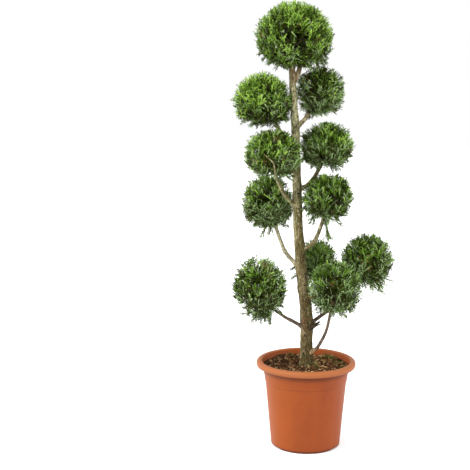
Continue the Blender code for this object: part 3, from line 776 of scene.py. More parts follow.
def catmull(points, steps):
    """A smooth curve through points, with its end points kept."""
    points = np.asarray(points, float)
    ends = np.vstack((2 * points[0] - points[1], points, 2 * points[-1] - points[-2]))
    t = (np.arange(steps) / steps)[:, None]
    spans = [
        0.5 * (2 * b + (c - a) * t + (2 * a - 5 * b + 4 * c - d) * t ** 2 + (3 * b - a - 3 * c + d) * t ** 3)
        for a, b, c, d in zip(ends, ends[1:], ends[2:], ends[3:])
    ]
    return np.vstack(spans + [points[-1:]])


def limb_surface(line, sides, first=None):
    """Outward directions round each point of a line, turned as little as they can be, and their angles."""
    ways = unit(np.vstack((line[1] - line[0], line[2:] - line[:-2], line[-1] - line[-2])))
    if first is not None:
        ways[0] = first
    across = Vector(ways[0]).orthogonal().normalized()
    rows = []
    for i, way in enumerate(ways):
        if i:
            across = Vector(ways[i - 1]).rotation_difference(Vector(way)) @ across
        rows.append(tuple(across))
    one = np.array(rows)
    two = np.cross(ways, one)
    angles = circle(sides)
    turns = angles[None, :, None]
    return one[:, None] * np.cos(turns) + two[:, None] * np.sin(turns), angles


def bark_relief(angle, along, depth, seed):
    """Height of bark above the smooth limb: broad lumps, scales and fine fibres."""
    c, s = math.cos(angle), math.sin(angle)
    broad = noise.noise(Vector((c * 0.8, s * 0.8, along * 26 + seed)))
    scales = noise.noise(Vector((c * 2.6, s * 2.6, along * 62 + seed)))
    fibres = noise.noise(Vector((c * 8, s * 8, along * 60 + seed)))
    return depth * (1.1 * broad + 0.9 * (0.5 - abs(scales)) + 0.5 * fibres)


def trunk_line():
    """Points along the trunk's middle and its radius at each."""
    x, z, radii = catmull([(x, z, radius) for z, x, radius in metres(TRUNK_STATIONS)], TRUNK_STEPS).T
    return np.column_stack((x, np.zeros(len(x)), z)), radii


def bough_line(radii, route):
    """Points along a bough's middle and its radius at each, with the collar at its foot."""
    line = catmull(metres(route), BOUGH_STEPS)
    base, tip = metres(radii)
    near = np.maximum(0, 1 - np.linalg.norm(line - line[0], axis=1) / COLLAR_LENGTH)
    collar = 1 + (COLLAR_SWELL - 1) * near
    return line, (base + (tip - base) * np.linspace(0, 1, len(line))) * collar


def limb_lines():
    """The line and radii of every limb by name."""
    return {"trunk": trunk_line()} | {name: bough_line(radii, route) for name, radii, route in BOUGHS}


def build_side_limb(name, route, radii, finish):
    """A thin smooth limb that goes on from a bough."""
    line = catmull(metres(route), SIDE_LIMB_STEPS)
    out, _ = limb_surface(line, SIDE_LIMB_SIDES)
    grid = line[:, None] + out * np.linspace(*metres(radii), len(line))[:, None, None]
    settle(tube_object(name, grid, finish), "bark")


def build_trunk(finish):
    """The trunk with bark relief, root flare, knots and the swellings under its boughs."""
    line, radii = trunk_line()
    out, angles = limb_surface(line, TRUNK_SIDES, UP)
    grid = np.empty_like(out)
    collars = []
    for _, ends, route in BOUGHS:
        foot, second = metres(route[:2])
        base = metres(ends)[0]
        collars.append((foot + 1.6 * unit(second - foot) * base * 2, base * 2.4))
    knots = []
    for z, turn, size, rise in KNOTS:
        i = np.argmin(abs(line[:, 2] - metres(z)))
        knots.append((line[i] + radii[i] * spoke(turn), *metres((size, rise))))
    for i, (centre, radius) in enumerate(zip(line, radii)):
        low = math.exp(-(centre[2] - line[0][2]) / FLARE_HEIGHT)
        for j, angle in enumerate(angles):
            way = out[i, j]
            lobe = 1 + FLARE_DEPTH * low * math.sin(FLARE_LOBES * angle)
            height = bark_relief(angle, centre[2], TRUNK_RELIEF + FLARE_RELIEF * low, 3.7)
            spot = centre + way * radius
            for knot, size, rise in knots:
                away = np.linalg.norm((spot - knot) * (1, 1, 0.7)) / size
                if away < 2.2:
                    height += rise * (math.exp(-away * away) - 0.55 * math.exp(-(away * 2.6) ** 2))
            for base, size in collars:
                away = np.linalg.norm((spot - base) * (1, 1, 0.6)) / size
                if away < 2.0:
                    height += COLLAR_RISE * math.exp(-away * away)
            grid[i, j] = centre + way * (radius * lobe + height)
    settle(tube_object("trunk_bark", grid, finish), "bark", "trunk")


def build_boughs(barks):
    """Every bough and the pruned stub, each with its burrs and its bark."""
    for seed, (name, ends, route) in enumerate(BOUGHS):
        line, radii = bough_line(ends, route)
        share = np.linspace(0, 1, len(line))
        for owner, middle, length, rise in BURRS:
            if owner == name:
                radii = radii + metres(rise) * np.exp(-((share - middle) / length) ** 2)
        out, angles = limb_surface(line, BOUGH_SIDES)
        grid = np.empty_like(out)
        for i, (centre, radius) in enumerate(zip(line, radii)):
            for j, angle in enumerate(angles):
                height = bark_relief(angle, i * 0.004, BOUGH_RELIEF, seed * 9.1)
                grid[i, j] = centre + out[i, j] * (radius + height)
        settle(tube_object(name + "_bark", grid, barks[BOUGH_BARKS.get(name, "bough")]), "bark", name)


def build_flakes(name, spots, count, finish, seed):
    """Thin curled flakes of bark, each held at its lower end, joined into one piece."""
    rng = np.random.default_rng(seed)
    line, radii = trunk_line()
    spots = [(metres(z), turn, *metres((length, width))) for z, turn, length, width in spots]
    spots += [[rng.uniform(*limits) for limits in LOOSE_FLAKES] for _ in range(count)]
    points, faces = [], []
    for z, turn, length, width in spots:
        i = np.argmin(abs(line[:, 2] - z))
        out, side = spoke(turn), spoke(turn + 90)
        foot = line[i] + out * (radii[i] - 0.0003)
        lift = rng.uniform(*FLAKE_LIFT) * length
        base = len(points)
        for share, wide, rise in FLAKE_ROWS:
            at = foot + UP * length * share + out * (lift * rise + FLAKE_THICKNESS)
            half = side * width / 2 * wide * rng.uniform(0.85, 1.15)
            back = at - out * FLAKE_THICKNESS
            points += [at - half, at + half, back + half * 0.9, back - half * 0.9]
        faces += [(base, base + 1, base + 2, base + 3), (base + 15, base + 14, base + 13, base + 12)]
        for row in range(3):
            for k in range(4):
                a, b = base + row * 4 + k, base + row * 4 + (k + 1) % 4
                faces.append((a, a + 4, b + 4, b))
    settle(mesh_object(name, np.array(points), faces, finish), "bark")


def build_stub_twigs(finish):
    line, _ = limb_lines()["pruned_stub"]
    shares, ways, lengths = zip(*STUB_TWIGS)
    roots = np.array([line[round(share * (len(line) - 1))] for share in shares])
    tips = roots + unit(np.array(ways)) * metres(lengths)[:, None]
    points, faces = twig_mesh(roots, tips, *(np.full(len(roots), radius) for radius in STUB_TWIG_RADII))
    settle(mesh_object("pruned_stub_twigs", points, faces, finish), "bark")


def reach(ball, ways):
    """How far the ball's clipped surface lies from its centre along unit directions."""
    wide = ball.width / 2 * (1 + ball.egg * np.minimum(0, ways[..., 2]))
    flat = ways[..., 0] ** 2 + ways[..., 1] ** 2
    return 1 / np.sqrt(flat / wide ** 2 + ways[..., 2] ** 2 / (ball.height / 2) ** 2)


def even_ways(count):
    """Directions spread evenly over the sphere, from the top down."""
    i = np.arange(count)
    z = 1 - 2 * (i + 0.5) / count
    flat = np.sqrt(1 - z * z)
    turn = math.pi * (3 - math.sqrt(5)) * i
    return np.column_stack((flat * np.cos(turn), flat * np.sin(turn), z))


def keeps_clear(points, limbs, margin):
    """Marks the points that lie clear of every limb by a margin."""
    centres, radii = limbs
    clear = np.ones(len(points), bool)
    for start in range(0, len(points), 4096):
        block = points[start:start + 4096]
        away = np.linalg.norm(block[:, None] - centres[None], axis=2) - radii[None]
        clear[start:start + 4096] = away.min(axis=1) > margin
    return clear


def spray_template(rng, narrow):
    """One feathery spray of unit length: roots, tips, widths and place along it of its strands.

    It lies along X and spreads in Y. A bent stalk bears side strands in turn: few short ones on a
    narrow spray, and longer ones that fork again on a full one.
    """
    bend = rng.uniform(-0.45, 0.45)
    lift = rng.uniform(-0.20, 0.28)

    def stalk(t):
        return np.array((t, bend * t * t, lift * t * t))

    strands = [(stalk(low), stalk(high), STALK_WIDTH, (low + high) / 2)
               for low, high in ((0.0, 0.46), (0.34, 0.76), (0.62, 1.0))]
    side = 1 if rng.random() < 0.5 else -1
    count = int(rng.integers(2, 5) if narrow else rng.integers(4, 7))
    for t in np.linspace(0.20, 0.74, count):
        side = -side
        length = ((0.30 - 0.14 * t) if narrow else (0.46 - 0.26 * t)) * rng.uniform(0.8, 1.2)
        angle = side * math.radians(rng.uniform(18, 32) if narrow else rng.uniform(28, 44))
        way = np.array((math.cos(angle), math.sin(angle), rng.uniform(-0.25, 0.25)))
        root = stalk(t)
        tip = root + way * length
        strands.append((root, tip, STRAND_WIDTH, t))
        if length > 0.36:
            fork = root + (tip - root) * 0.4
            turn = angle - side * math.radians(rng.uniform(26, 38))
            small = np.array((math.cos(turn), math.sin(turn), rng.uniform(-0.2, 0.2)))
            strands.append((fork, fork + small * length * 0.55, STRAND_WIDTH * 0.9, t + 0.15))
    roots, tips, widths, places = stacked(strands)
    return roots, tips, widths, np.clip(places, 0, 1)


def strand_mesh(roots, tips, sides, widths):
    """Four-faced slivers, one for each strand: flat on one side and keeled on the other."""
    along = tips - roots
    shares = np.sum(sides * along, 1) / np.maximum(np.sum(along * along, 1), 1e-12)
    sides = unit(sides - along * shares[:, None])
    middle = roots + along * 0.42
    half = sides * (widths / 2)[:, None]
    keel = unit(np.cross(along, sides)) * (widths * 0.38)[:, None]
    points = np.stack((roots, middle + half + keel, middle - half + keel, tips), axis=1)
    base = np.arange(len(roots))[:, None, None] * 4
    faces = base + np.array(((0, 2, 1), (3, 1, 2), (0, 1, 3), (0, 3, 2)))[None]
    return points.reshape(-1, 3), faces.reshape(-1, 3)


def twig_mesh(roots, tips, start_radii, end_radii):
    """Three-sided tapering twigs, one for each root and tip, closed at both ends by a point."""
    along = unit(tips - roots)
    guide = np.where(np.abs(along[:, 2:3]) > 0.9, np.array((1.0, 0, 0)), UP)
    one = unit(np.cross(along, guide))
    two = np.cross(along, one)
    points = [roots - along * start_radii[:, None] * 0.5]
    for centre, radius in ((roots, start_radii), (tips, end_radii)):
        for turn in circle(3):
            points.append(centre + (one * math.cos(turn) + two * math.sin(turn)) * radius[:, None])
    points.append(tips + along * end_radii[:, None])
    points = np.stack(points, axis=1)
    shape = []
    for i in range(3):
        j = (i + 1) % 3
        shape += [(0, 1 + j, 1 + i), (1 + i, 1 + j, 4 + j), (1 + i, 4 + j, 4 + i), (4 + i, 4 + j, 7)]
    faces = np.arange(len(roots))[:, None, None] * 8 + np.array(shape)[None]
    return points.reshape(-1, 3), faces.reshape(-1, 3)


def clump(points, seed, scale, stride, start):
    """Smooth noise from 0 to 1 that gives neighbours like values."""
    offset = Vector((seed * stride + start, 0, 0))
    return np.array([noise.noise(Vector(p) * scale + offset) for p in points]) * 0.5 + 0.5


def lumpy_reach(ball, seed, ways):
    """The ball's reach with the small swellings and dents that clipping leaves."""
    return reach(ball, ways) * (1 + 2 * LUMP_SHARE * (clump(ways, seed, *LUMP_NOISE) - 0.5))


def within(ball, points, spots, front, depth=1.0):
    """Marks the points in a ball's listed places, which may be deeper than they are wide.

    Front is how far the places lie in front of the ball's centre, as a share of the way to its surface.
    """
    x, y, z = ball.centre
    inside = np.zeros(len(points), bool)
    for across, height, radius in metres(spots.get(ball.name, ())):
        flat = 1 - ((across - x) * 2 / ball.width) ** 2 - ((height - z) * 2 / ball.height) ** 2
        spot = np.array((across, y - front * math.sqrt(max(flat, 0)) * ball.width / 2, height))
        away = (points - spot) / np.array((radius, radius * depth, radius))
        inside |= np.linalg.norm(away, axis=1) < 1
    return inside


def in_hollow(ball, points):
    return within(ball, points, HOLLOWS, HOLLOW_FRONT, HOLLOW_DEPTH)


def grow_tufts(ball, seed, layer, rng, limbs):
    """Roots, tips, tint grades and ways out of the sprays in one layer of a ball, tuft by tuft."""
    area = math.pi * ball.width * (ball.width + ball.height) / 2
    ways = even_ways(round(area * layer.density))
    ways = unit(ways + rng.normal(0, TUFT_JITTER, ways.shape))
    reaches = lumpy_reach(ball, seed, ways)
    shares = rng.uniform(layer.low, layer.high, len(ways))
    low_start, low_range, low_open = UNDERSIDE
    low = np.clip((-ways[:, 2] - low_start) / low_range, 0, 1)
    rise = SPRAY_RISE * (1 - np.maximum(ways[:, 2], 0)) * (1 - low) + SPRAY_RISE_LOW * low
    lean = unit(ways + UP * rise[:, None] + rng.normal(0, LEAN_JITTER, ways.shape))
    tops = ball.centre + ways * (reaches * shares)[:, None]
    roots = tops - lean * (layer.length * rng.uniform(*TUFT_LENGTHS, len(ways)))[:, None]
    keep = clump(tops, seed, *OPEN_NOISE) > layer.open_share + low_open * low
    keep &= ~within(ball, tops, GAPS, 0, GAP_DEPTH)
    outer = layer is not LAYERS[-1]
    if outer:
        keep &= ~in_hollow(ball, tops)
    ways, roots, lean, shares, tops = (x[keep] for x in (ways, roots, lean, shares, tops))
    tone = Tone(*TONES[ball.name])
    # Painted light and shade: each ball's shift and its lean lighter towards its top and its right, on top of
    # tone that differs at random
    bright = clump(tops, seed, *TINT_NOISE) + tone.shift
    bright += tone.upward * ways[:, 2] + tone.rightward * ways[:, 0]
    rusty = (clump(tops, seed, *RUST_NOISE) > RUST_CLUMP) | within(ball, tops, RUSTY, 1)
    lots = []
    for _ in range(layer.sprays):
        way = unit(lean + rng.normal(0, SPRAY_FAN, lean.shape))
        lengths = layer.length * rng.uniform(*SPRAY_LENGTHS, len(way))
        start = roots + rng.normal(0, ROOT_JITTER, roots.shape)
        goal = shares + rng.uniform(*SPRAY_SHIFTS, len(way))
        for _ in range(3):
            out = start + way * lengths[:, None] - ball.centre
            away = np.linalg.norm(out, axis=1)
            excess = away - goal * lumpy_reach(ball, seed, out / away[:, None])
            lengths = np.clip(lengths - 0.8 * np.maximum(excess, 0), SPRAY_SHORTEST, SPRAY_LONGEST)
        tip = start + way * lengths[:, None]
        grade = np.digitize(-(bright + rng.normal(0, tone.variety, len(way))), TINT_STEPS)
        odd = rng.random(len(way))
        # Painted shade: inner layers take darker tints, as the older foliage deep in the ball also is
        grade = np.minimum(grade + layer.darker, DEEP)
        dull = tone.dull * np.clip((DULL_TOP - ways[:, 2]) / DULL_RANGE, 0, 1)
        chance = rng.random(len(way)) - dull - tone.dull_right * ways[:, 0]
        for vivid, greyed, more in GREYED:
            grade = np.where((grade == vivid) & (chance < more * tone.grey), greyed, grade)
        grade = np.where(rusty & (odd > RUST_SPARED), RUST, grade)
        middle = (start + tip) / 2
        fits = keeps_clear(tip, limbs, TIP_CLEARANCE) & keeps_clear(middle, limbs, TIP_CLEARANCE)
        fits &= keeps_clear(start, limbs, ROOT_CLEARANCE)
        if outer:
            fits &= ~in_hollow(ball, middle)
        lots.append([values[fits] for values in (start, tip, grade, ways)])
    return joined(lots)


def fill_sprays(roots, tips, grades, ways, rng, templates, narrow, broad=1.0):
    """Turns spray roots and tips into the columns of their strands; a share of them are narrow sprays."""
    along = tips - roots
    lengths = np.linalg.norm(along, axis=1)
    lean = unit(along)
    sides = np.cross(ways, UP) + rng.normal(0, 0.7, ways.shape)
    sides = unit(sides - lean * np.sum(sides * lean, 1)[:, None])
    lifts = np.cross(lean, sides)
    half = len(templates) // 2
    kinds = rng.integers(0, half, len(roots)) + half * (rng.random(len(roots)) >= narrow)
    parts = []
    for kind, (low, high, widths, places) in enumerate(templates):
        pick = np.flatnonzero(kinds == kind)
        if not len(pick):
            continue
        axes = np.stack((lean[pick], sides[pick], lifts[pick]), axis=1) * lengths[pick][:, None, None]
        start, end = (roots[pick][:, None] + np.einsum("sk,nkc->nsc", ends, axes) for ends in (low, high))
        across = np.cross(end - start, np.broadcast_to(lifts[pick][:, None], start.shape))
        slim = broad * np.where(np.isin(grades[pick], (PALE, GREY)), GREY_WIDTH, 1.0)[:, None]
        wide = np.broadcast_to(widths, start.shape[:2]) * rng.uniform(0.85, 1.15, (len(pick), 1)) * slim
        # Painted shade: the strands at a spray's foot, deeper in the ball, are one tint darker
        steps = np.isin(grades[pick], (DEEP, DUSK, RUST), invert=True)
        tint = grades[pick][:, None] + (places < 0.30)[None] * steps[:, None]
        parts.append((*(a.reshape(-1, 3) for a in (start, end, across)), wide.ravel(), tint.ravel()))
    return joined(parts)


def polyline(points, radii, store):
    """Adds a twig through points to the store of twig segments."""
    store += zip(points, points[1:], radii, radii[1:])


def elbow(start, knee, end, share):
    """The point at a share of the way from start over a knee to the end."""
    return start + (knee - start) * share * 2 if share < 0.5 else knee + (end - knee) * (share * 2 - 1)


def grow_twigs(ball, tips, rng, store):
    """The stem and the twigs that fork from it, and their ends, on which tufts grow."""
    tip, way, radius = tips[ball.limb]
    heart = ball.centre + UP * 0.10 * ball.height
    middle = tip + way * np.linalg.norm(heart - tip) * 0.45
    foot = tip - way * 0.001
    polyline((foot, middle, heart), scaled(STEM_SHARES, radius), store)
    forks = FORKS if ball.width < WIDE_BALL else FORKS_WIDE
    ends = [heart]
    for way in unit(even_ways(forks) + rng.normal(0, 0.12, (forks, 3))):
        start = elbow(foot, middle, heart, np.clip(0.55 + 0.5 * way[2] + rng.uniform(-0.15, 0.15), 0.05, 1))
        far = ball.centre + way * reach(ball, way) * rng.uniform(0.55, 0.68)
        knee = start + (far - start) * 0.5 + UP * (-0.006 if way[2] > 0 else 0.004)
        size = radius * rng.uniform(0.30, 0.45)
        polyline((start, knee, far), scaled(TWIG_SHARES, size), store)
        ends.append(far)
        for _ in range(2):
            more = unit(way + rng.normal(0, 0.45, 3) + UP * 0.15)
            end = far + more * rng.uniform(0.014, 0.024)
            polyline((far, end), scaled(END_SHARES, size), store)
            ends.append(end)
    return np.array(ends)


def grow_skirt(ball, tips, rng, store):
    """Bare twigs that spread under the ball, each with sparse sprays: their roots, tips and ways out."""
    tip = tips[ball.limb][0]
    sprays = []
    count = SKIRT_TWIGS if ball.width < WIDE_BALL else SKIRT_TWIGS_WIDE
    for i in range(count):
        turn = 2 * math.pi * (i + rng.uniform(-0.3, 0.3)) / count
        drop = rng.uniform(*SKIRT_DROPS)
        flat = math.sqrt(1 - drop * drop)
        out = np.array((flat * math.cos(turn), flat * math.sin(turn), drop))
        end = ball.centre + out * reach(ball, out) * rng.uniform(0.86, 1.0)
        end -= UP * ball.hang * rng.uniform(0.0, 0.35)
        start = tip + (ball.centre - tip) * rng.uniform(0.05, 0.45)
        knee = start + (end - start) * rng.uniform(0.45, 0.6)
        knee += UP * rng.uniform(0.0, 0.010) + rng.normal(0, 0.003, 3)
        polyline((start, knee, end), SKIRT_RADII, store)
        for share in SKIRT_SPRAYS:
            at = elbow(start, knee, end, share)
            grow = unit((end - start) + rng.normal(0, 0.030, 3) - UP * 0.004)
            sprays.append((at, at + grow * rng.uniform(*SKIRT_LENGTHS), out))
    return stacked(sprays)


def hang_wisps(ball, rng, store):
    """The loose sprays at a ball's edge where the photograph shows them: roots, tips and ways out."""
    sprays = []
    for x, z, end_x, end_z in metres(WISPS[ball.name]):
        start, end = np.array((x, ball.wisp_depth, z)), np.array((end_x, ball.wisp_depth - 0.01, end_z))
        along = end - start
        length = np.linalg.norm(along)
        back = max(0.3, WISP_ROOT / length)
        polyline((start - along * back, start + along * 0.5, start + along * 0.85), WISP_RADII, store)
        for share in np.linspace(-0.6 * back, 0.75, max(4, round(length * (1 + back) / WISP_STEP))):
            at = start + along * share
            grow = unit(along) + rng.normal(0, WISP_SPREAD, 3)
            sprays.append((at, at + unit(grow) * min(WISP_LONGEST, length * (1.1 - share)), unit(along)))
    return stacked(sprays)


def build_ball(seed, ball, tips, limbs, leaves, twig_finish, templates):
    """One ball of foliage: stem, twigs and sprays, each tint joined into a piece."""
    rng = np.random.default_rng(BALL_SEED + seed)
    node = "foliage_" + ball.name
    segments, twiglets, strands = [], [], []
    ends = grow_twigs(ball, tips, rng, segments)
    for layer in LAYERS:
        sprays = grow_tufts(ball, seed, layer, rng, limbs)
        strands.append(fill_sprays(*sprays, rng, templates, layer.narrow, layer.broad))
        for root in sprays[0][:len(sprays[0]) // layer.sprays]:
            near = ends[np.argmin(np.linalg.norm(ends - root, axis=1))]
            twiglets.append((near, root, np.cross(root - near, UP), TWIGLET_WIDTH))
    skirt, wisps = grow_skirt(ball, tips, rng, segments), hang_wisps(ball, rng, segments)
    for loose in (skirt, wisps):
        fits = keeps_clear(loose[1], limbs, TIP_CLEARANCE)
        roots, spray_tips, ways = (column[fits] for column in loose)
        grades = rng.choice(LOOSE_TINTS, len(roots))
        strands.append(fill_sprays(roots, spray_tips, grades, ways, rng, templates, LOOSE_NARROW))
    columns = joined(strands)
    for index, tint in enumerate(TINTS):
        pick = columns[4] == index
        if pick.any():
            points, faces = strand_mesh(*(column[pick] for column in columns[:4]))
            settle(mesh_object(f"{node}_sprays_{tint}", points, faces, leaves[tint]), "foliage", node)
    points, faces = twig_mesh(*stacked(segments))
    more_points, more_faces = strand_mesh(*stacked(twiglets))
    points, faces = np.vstack((points, more_points)), np.vstack((faces, more_faces + len(points)))
    settle(mesh_object(node + "_twigs", points, faces, twig_finish), "bark", node)


def build_foliage():
    """Every ball, on the limb whose tip its stem goes on from, clear of all the limbs."""
    leaves, twig_finish = {tint: leaf_material(tint) for tint in TINTS}, twig_material()
    rng = np.random.default_rng(SPRAY_SEED)
    templates = [spray_template(rng, i < SPRAY_TEMPLATES) for i in range(2 * SPRAY_TEMPLATES)]
    lines = limb_lines()
    tips = {name: (line[-1], unit(line[-1] - line[-2]), radii[-1]) for name, (line, radii) in lines.items()}
    limbs = joined(lines.values())
    for seed, (name, centre, width, height, egg, hang, depth) in enumerate(BALL_ROWS):
        limb = "trunk" if name == "top" else "bough_" + name
        ball = Ball(name, limb, metres(centre), *metres((width, height)), egg, *metres((hang, depth)))
        build_ball(seed, ball, tips, limbs, leaves, twig_finish, templates)


def arc(centre, radius, start, end, steps):
    angles = np.radians(np.linspace(start, end, steps + 1))
    return [(centre[0] + radius * math.cos(a), centre[1] + radius * math.sin(a)) for a in angles]


def pot_profile():
    """The pot's outline from its underside up the outside, over the hollow rim and down inside."""
    rim_foot = POT_HEIGHT - POT_RIM_HEIGHT
    foot_edge = POT_FOOT_RADIUS - FOOT_CURVE
    foot = [(POT_FOOT_RADIUS - POT_STAND_WIDTH, 0.0), (POT_FOOT_RADIUS - FOOT_INSET, 0.0)]
    foot += [(POT_FOOT_RADIUS - FOOT_INSET, FOOT_INSET_HEIGHT), (foot_edge, FOOT_INSET_HEIGHT + 0.0003)]
    foot += arc((foot_edge, FOOT_INSET_HEIGHT + 0.0034), FOOT_CURVE, -85, -5, 5)
    lean = (POT_WAIST_RADIUS - POT_FOOT_RADIUS) / (POT_WAIST_HEIGHT - POT_FOOT_ROUND)
    heights = np.linspace(0.02, POT_WAIST_HEIGHT, 12)
    wall = [(POT_FOOT_RADIUS + lean * (z - POT_FOOT_ROUND), z) for z in heights]
    step = [(POT_WAIST_RADIUS + 0.0005, POT_STEP_HEIGHT - 0.004)]
    step.append((POT_WAIST_RADIUS + 0.0022, POT_STEP_HEIGHT))
    shoulder = catmull([step[-1], (0.1263, 0.217), (0.1290, 0.229), (0.1308, 0.238),
                        (0.1316, rim_foot + 0.002)], 5)
    under = [(0.1320, rim_foot + 0.009), (0.1355, rim_foot + 0.0125), (0.1430, rim_foot + 0.0125),
             (0.1457, rim_foot + 0.009), (0.1461, rim_foot + 0.002)]
    lip = arc((0.1474, rim_foot + LIP_RADIUS), LIP_RADIUS, -180, -20, 5)
    rim = arc((POT_RIM_RADIUS - RIM_CURVE, POT_HEIGHT - RIM_CURVE), RIM_CURVE, -12, 88, 12)
    rim += arc((POT_MOUTH_RADIUS + MOUTH_CURVE, POT_HEIGHT - MOUTH_CURVE - 0.0002), MOUTH_CURVE, 92, 178, 8)
    inside = catmull([(0.1316, POT_HEIGHT - 0.013), (0.1294, rim_foot), (0.1278, 0.234), (0.1245, 0.217),
                      (POT_WAIST_RADIUS - POT_WALL, POT_WAIST_HEIGHT)], 4)
    floor_edge = POT_FOOT_RADIUS - POT_WALL
    floor = [(floor_edge, POT_FLOOR + 0.006), (floor_edge - 0.004, POT_FLOOR)]
    return np.vstack((foot, wall, step, shoulder[1:], under, lip, rim, inside, floor))


def build_pot(finish):
    """The pot turned from its profile, with notches in its foot and its drain holes cut through."""
    turns = circle(POT_SEGMENTS)
    profile = pot_profile()
    round_about = np.column_stack((np.cos(turns), np.sin(turns), np.ones(POT_SEGMENTS)))
    grid = round_about[None] * profile[:, [0, 0, 1]][:, None]
    for middle in FOOT_NOTCHES:
        away = abs((turns - math.radians(middle) + math.pi) % (2 * math.pi) - math.pi)
        notch = np.clip(NOTCH_EDGE * (math.radians(NOTCH_HALF_TURN) - away), 0, 1)
        for i, (radius, height) in enumerate(profile[:NOTCH_ROWS]):
            grid[i, :, 2] += notch * (NOTCH_HEIGHT - height) * (height < NOTCH_HEIGHT)
            grid[i, :, :2] *= (1 - notch * NOTCH_DEPTH / radius * (height < NOTCH_HEIGHT))[:, None]
    pot = tube_object("pot_shell", grid, finish)
    drill = bmesh.new()
    for i in range(DRAIN_HOLES):
        made = bmesh.ops.create_cone(drill, cap_ends=True, segments=24, radius1=DRAIN_HOLE_RADIUS,
                                     radius2=DRAIN_HOLE_RADIUS, depth=0.016)
        place = Vector(spoke(360 * i / DRAIN_HOLES)) * DRAIN_RING_RADIUS
        bmesh.ops.translate(drill, verts=made["verts"], vec=place)
    tool = link(bpy.data.objects.new("drain_drill", shape_mesh("drain_drill", drill)))
    carve = pot.modifiers.new("drain", "BOOLEAN")
    carve.operation = "DIFFERENCE"
    carve.solver = "EXACT"
    carve.object = tool
    graph = bpy.context.evaluated_depsgraph_get()
    carved = bpy.data.meshes.new_from_object(pot.evaluated_get(graph))
    pot.modifiers.clear()
    pot.data = carved
    bpy.data.objects.remove(tool)
    settle(pot, "terracotta_plastic", "pot")


def soil_height(x, y):
    """Height of the soil's surface: a mound at the trunk, clods, heaps, and rises under the moss."""
    clods = noise.noise(Vector((x * 60, y * 60, 4.2))) * 0.0022
    clods += noise.noise(Vector((x * 190, y * 190, 1.7))) * 0.0013
    mound = 0.0045 * math.exp(-(math.hypot(x, y) / 0.045) ** 2)
    rises = sum(h * math.exp(-((x - a) ** 2 + (y - b) ** 2) / s ** 2) for a, b, s, h in SOIL_RISES)
    return SOIL_TOP + 0.0015 + mound + clods + rises


def build_soil(finish):
    def ring(radius, height=None):
        rim = [(radius * math.cos(a), radius * math.sin(a)) for a in circle(SOIL_SEGMENTS)]
        return [(x, y, soil_height(x, y) if height is None else height) for x, y in rim]

    rings = [ring(POT_FOOT_RADIUS - 0.006, POT_FLOOR + 0.001)]
    rings.append(ring(POT_WAIST_RADIUS - 0.005, POT_WAIST_HEIGHT))
    rings += [ring(radius) for radius in np.linspace(SOIL_RADIUS, 0.004, SOIL_RINGS)]
    settle(tube_object("soil_bed", np.array(rings), finish), "soil", "soil")


def chip_template(rng):
    """A lumpy twenty-faced chip of unit size."""
    shape = bmesh.new()
    bmesh.ops.create_icosphere(shape, subdivisions=1, radius=1)
    points = np.array([v.co for v in shape.verts]) * rng.uniform(0.72, 1.2, (len(shape.verts), 1))
    faces = np.array([[v.index for v in face.verts] for face in shape.faces])
    shape.free()
    return points, faces


def turn_matrix(angle, first, second):
    """A turn that takes one axis towards another."""
    made = np.eye(3)
    made[first, first] = made[second, second] = math.cos(angle)
    made[first, second] = -math.sin(angle)
    made[second, first] = math.sin(angle)
    return made


def scatter_chips(name, count, lengths, seed, finish):
    """Chips of bark lying about on the soil, joined into one piece."""
    rng = np.random.default_rng(seed)
    template, faces = chip_template(rng)
    points, corners = [], []
    while len(points) < count:
        out = math.sqrt(rng.uniform(TRUNK_CLEARANCE ** 2, (SOIL_RADIUS - 0.004) ** 2))
        turn = rng.uniform(0, 2 * math.pi)
        x, y = out * math.cos(turn), out * math.sin(turn)
        size = rng.uniform(*lengths) / 2
        sizes = size * np.array((1, rng.uniform(*CHIP_WIDTHS), rng.uniform(*CHIP_HEIGHTS)))
        spin, tip, roll = rng.uniform(0, 2 * math.pi), rng.normal(0, 0.35), rng.normal(0, 0.5)
        turned = turn_matrix(spin, 0, 1) @ turn_matrix(tip, 0, 2) @ turn_matrix(roll, 1, 2)
        jitter = rng.uniform(0.8, 1.15, (len(template), 1))
        at = np.array((x, y, soil_height(x, y) + sizes[2] * 0.35))
        block = (template * jitter * sizes) @ turned.T + at
        if np.hypot(block[:, 0], block[:, 1]).max() <= SOIL_RADIUS - 0.001:
            corners.append(faces + len(points) * len(template))
            points.append(block)
    settle(mesh_object(name, np.vstack(points), np.vstack(corners), finish), "soil")


def build_moss(name, spots, finish):
    """Cushions of short moss on the soil, joined into one piece."""
    rng = np.random.default_rng(MOSS_SEED)
    lots = []
    for x, y, size, _ in metres(spots):
        at = np.array((x, y)) + rng.normal(0, size * 0.55, (int(MOSS_DENSITY * size * size), 2))
        at = at[np.hypot(at[:, 0], at[:, 1]) < SOIL_RADIUS - 0.004]
        at = at[np.hypot(at[:, 0], at[:, 1]) > 0.024]
        base = np.column_stack((at, [soil_height(a, b) - 0.001 for a, b in at]))
        lean = unit(np.column_stack((rng.normal(0, 0.5, (len(at), 2)), np.ones(len(at)))))
        tips = base + lean * rng.uniform(0.003, 0.0065, len(at))[:, None]
        lots.append((base, tips, rng.normal(0, 1, base.shape)))
    roots, tips, sides = joined(lots)
    points, faces = strand_mesh(roots, tips, sides, np.full(len(roots), MOSS_WIDTH))
    settle(mesh_object(name, points, faces, finish), "soil")


def build_litter():
    """The soil with its bark chips and its two kinds of moss."""
    build_soil(soil_material("soil_bed", *EARTH))
    for seed, (name, count, lengths, colour) in enumerate(CHIPS, CHIP_SEED):
        finish = soil_material(name, scaled(colour, CHIP_SHADE), colour)
        scatter_chips(name, count, metres(lengths), seed, finish)
    build_moss("soil_moss", MOSS_SPOTS, soil_material("moss", *MOSS))
    build_moss("soil_moss_pale", PALE_MOSS_SPOTS, soil_material("pale_moss", *PALE_MOSS))


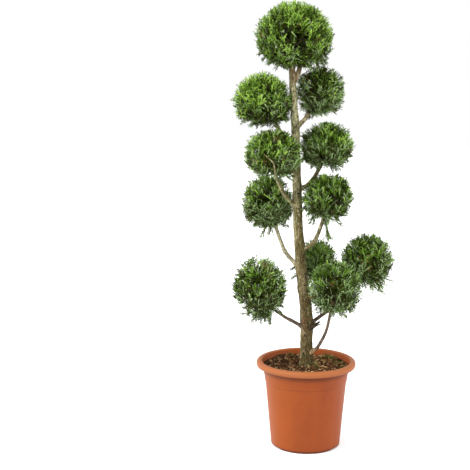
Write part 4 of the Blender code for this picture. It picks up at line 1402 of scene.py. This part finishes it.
def build_stage():
    """The pale floor, the soft lights and the camera."""
    shape = bmesh.new()
    bmesh.ops.create_circle(shape, cap_ends=True, segments=96, radius=FLOOR_RADIUS)
    mesh = shape_mesh("floor", shape)
    pale = Nodes("pale_floor")
    pale.finish((0.97, 0.97, 0.97), 0.9, Emission_Color=(1, 1, 1), Emission_Strength=FLOOR_GLOW)
    mesh.materials.append(pale.material)
    floor = link(bpy.data.objects.new("floor", mesh))
    world = bpy.data.worlds.new("studio")
    bpy.context.scene.world = world
    world.use_nodes = True
    world.node_tree.nodes["Background"].inputs["Color"].default_value = (1, 1, 1, 1)
    world.node_tree.nodes["Background"].inputs["Strength"].default_value = 1.0
    for name, azimuth, elevation, spread, strength in SUNS:
        data = bpy.data.lights.new(name, "SUN")
        data.energy = strength
        data.angle = math.radians(spread)
        light = link(bpy.data.objects.new(name, data))
        climb = math.radians(elevation)
        towards = Vector(spoke(azimuth - 90) * math.cos(climb) + UP * math.sin(climb))
        light.rotation_euler = towards.to_track_quat("Z", "Y").to_euler()
    data = bpy.data.cameras.new("camera")
    data.sensor_fit = "HORIZONTAL"
    data.angle = math.radians(CAMERA_VIEW)
    camera = link(bpy.data.objects.new("camera", data))
    camera.location = CAMERA_PLACE
    camera.rotation_euler = (math.radians(90 - CAMERA_PITCH), 0, math.radians(CAMERA_PAN))
    bpy.context.scene.camera = camera
    bpy.context.scene.view_settings.view_transform = "Standard"


def main():
    barks = {name: bark_material(name) for name in BARKS}
    build_trunk(barks["trunk"])
    build_boughs(barks)
    build_side_limb("bough_left_4_root", RIDGE_ROUTE, RIDGE_RADII, barks["ridge"])
    build_side_limb("bough_left_2_branch", BRANCH_ROUTE, BRANCH_RADII, barks["olive"])
    build_flakes("trunk_flakes", EDGE_FLAKES, LOOSE_FLAKE_COUNT, barks["dark"], EDGE_FLAKE_SEED)
    build_flakes("trunk_flakes_red", RED_FLAKES, 0, barks["red"], RED_FLAKE_SEED)
    build_stub_twigs(barks["dark"])
    build_foliage()
    build_pot(pot_material())
    build_litter()
    build_stage()


main()
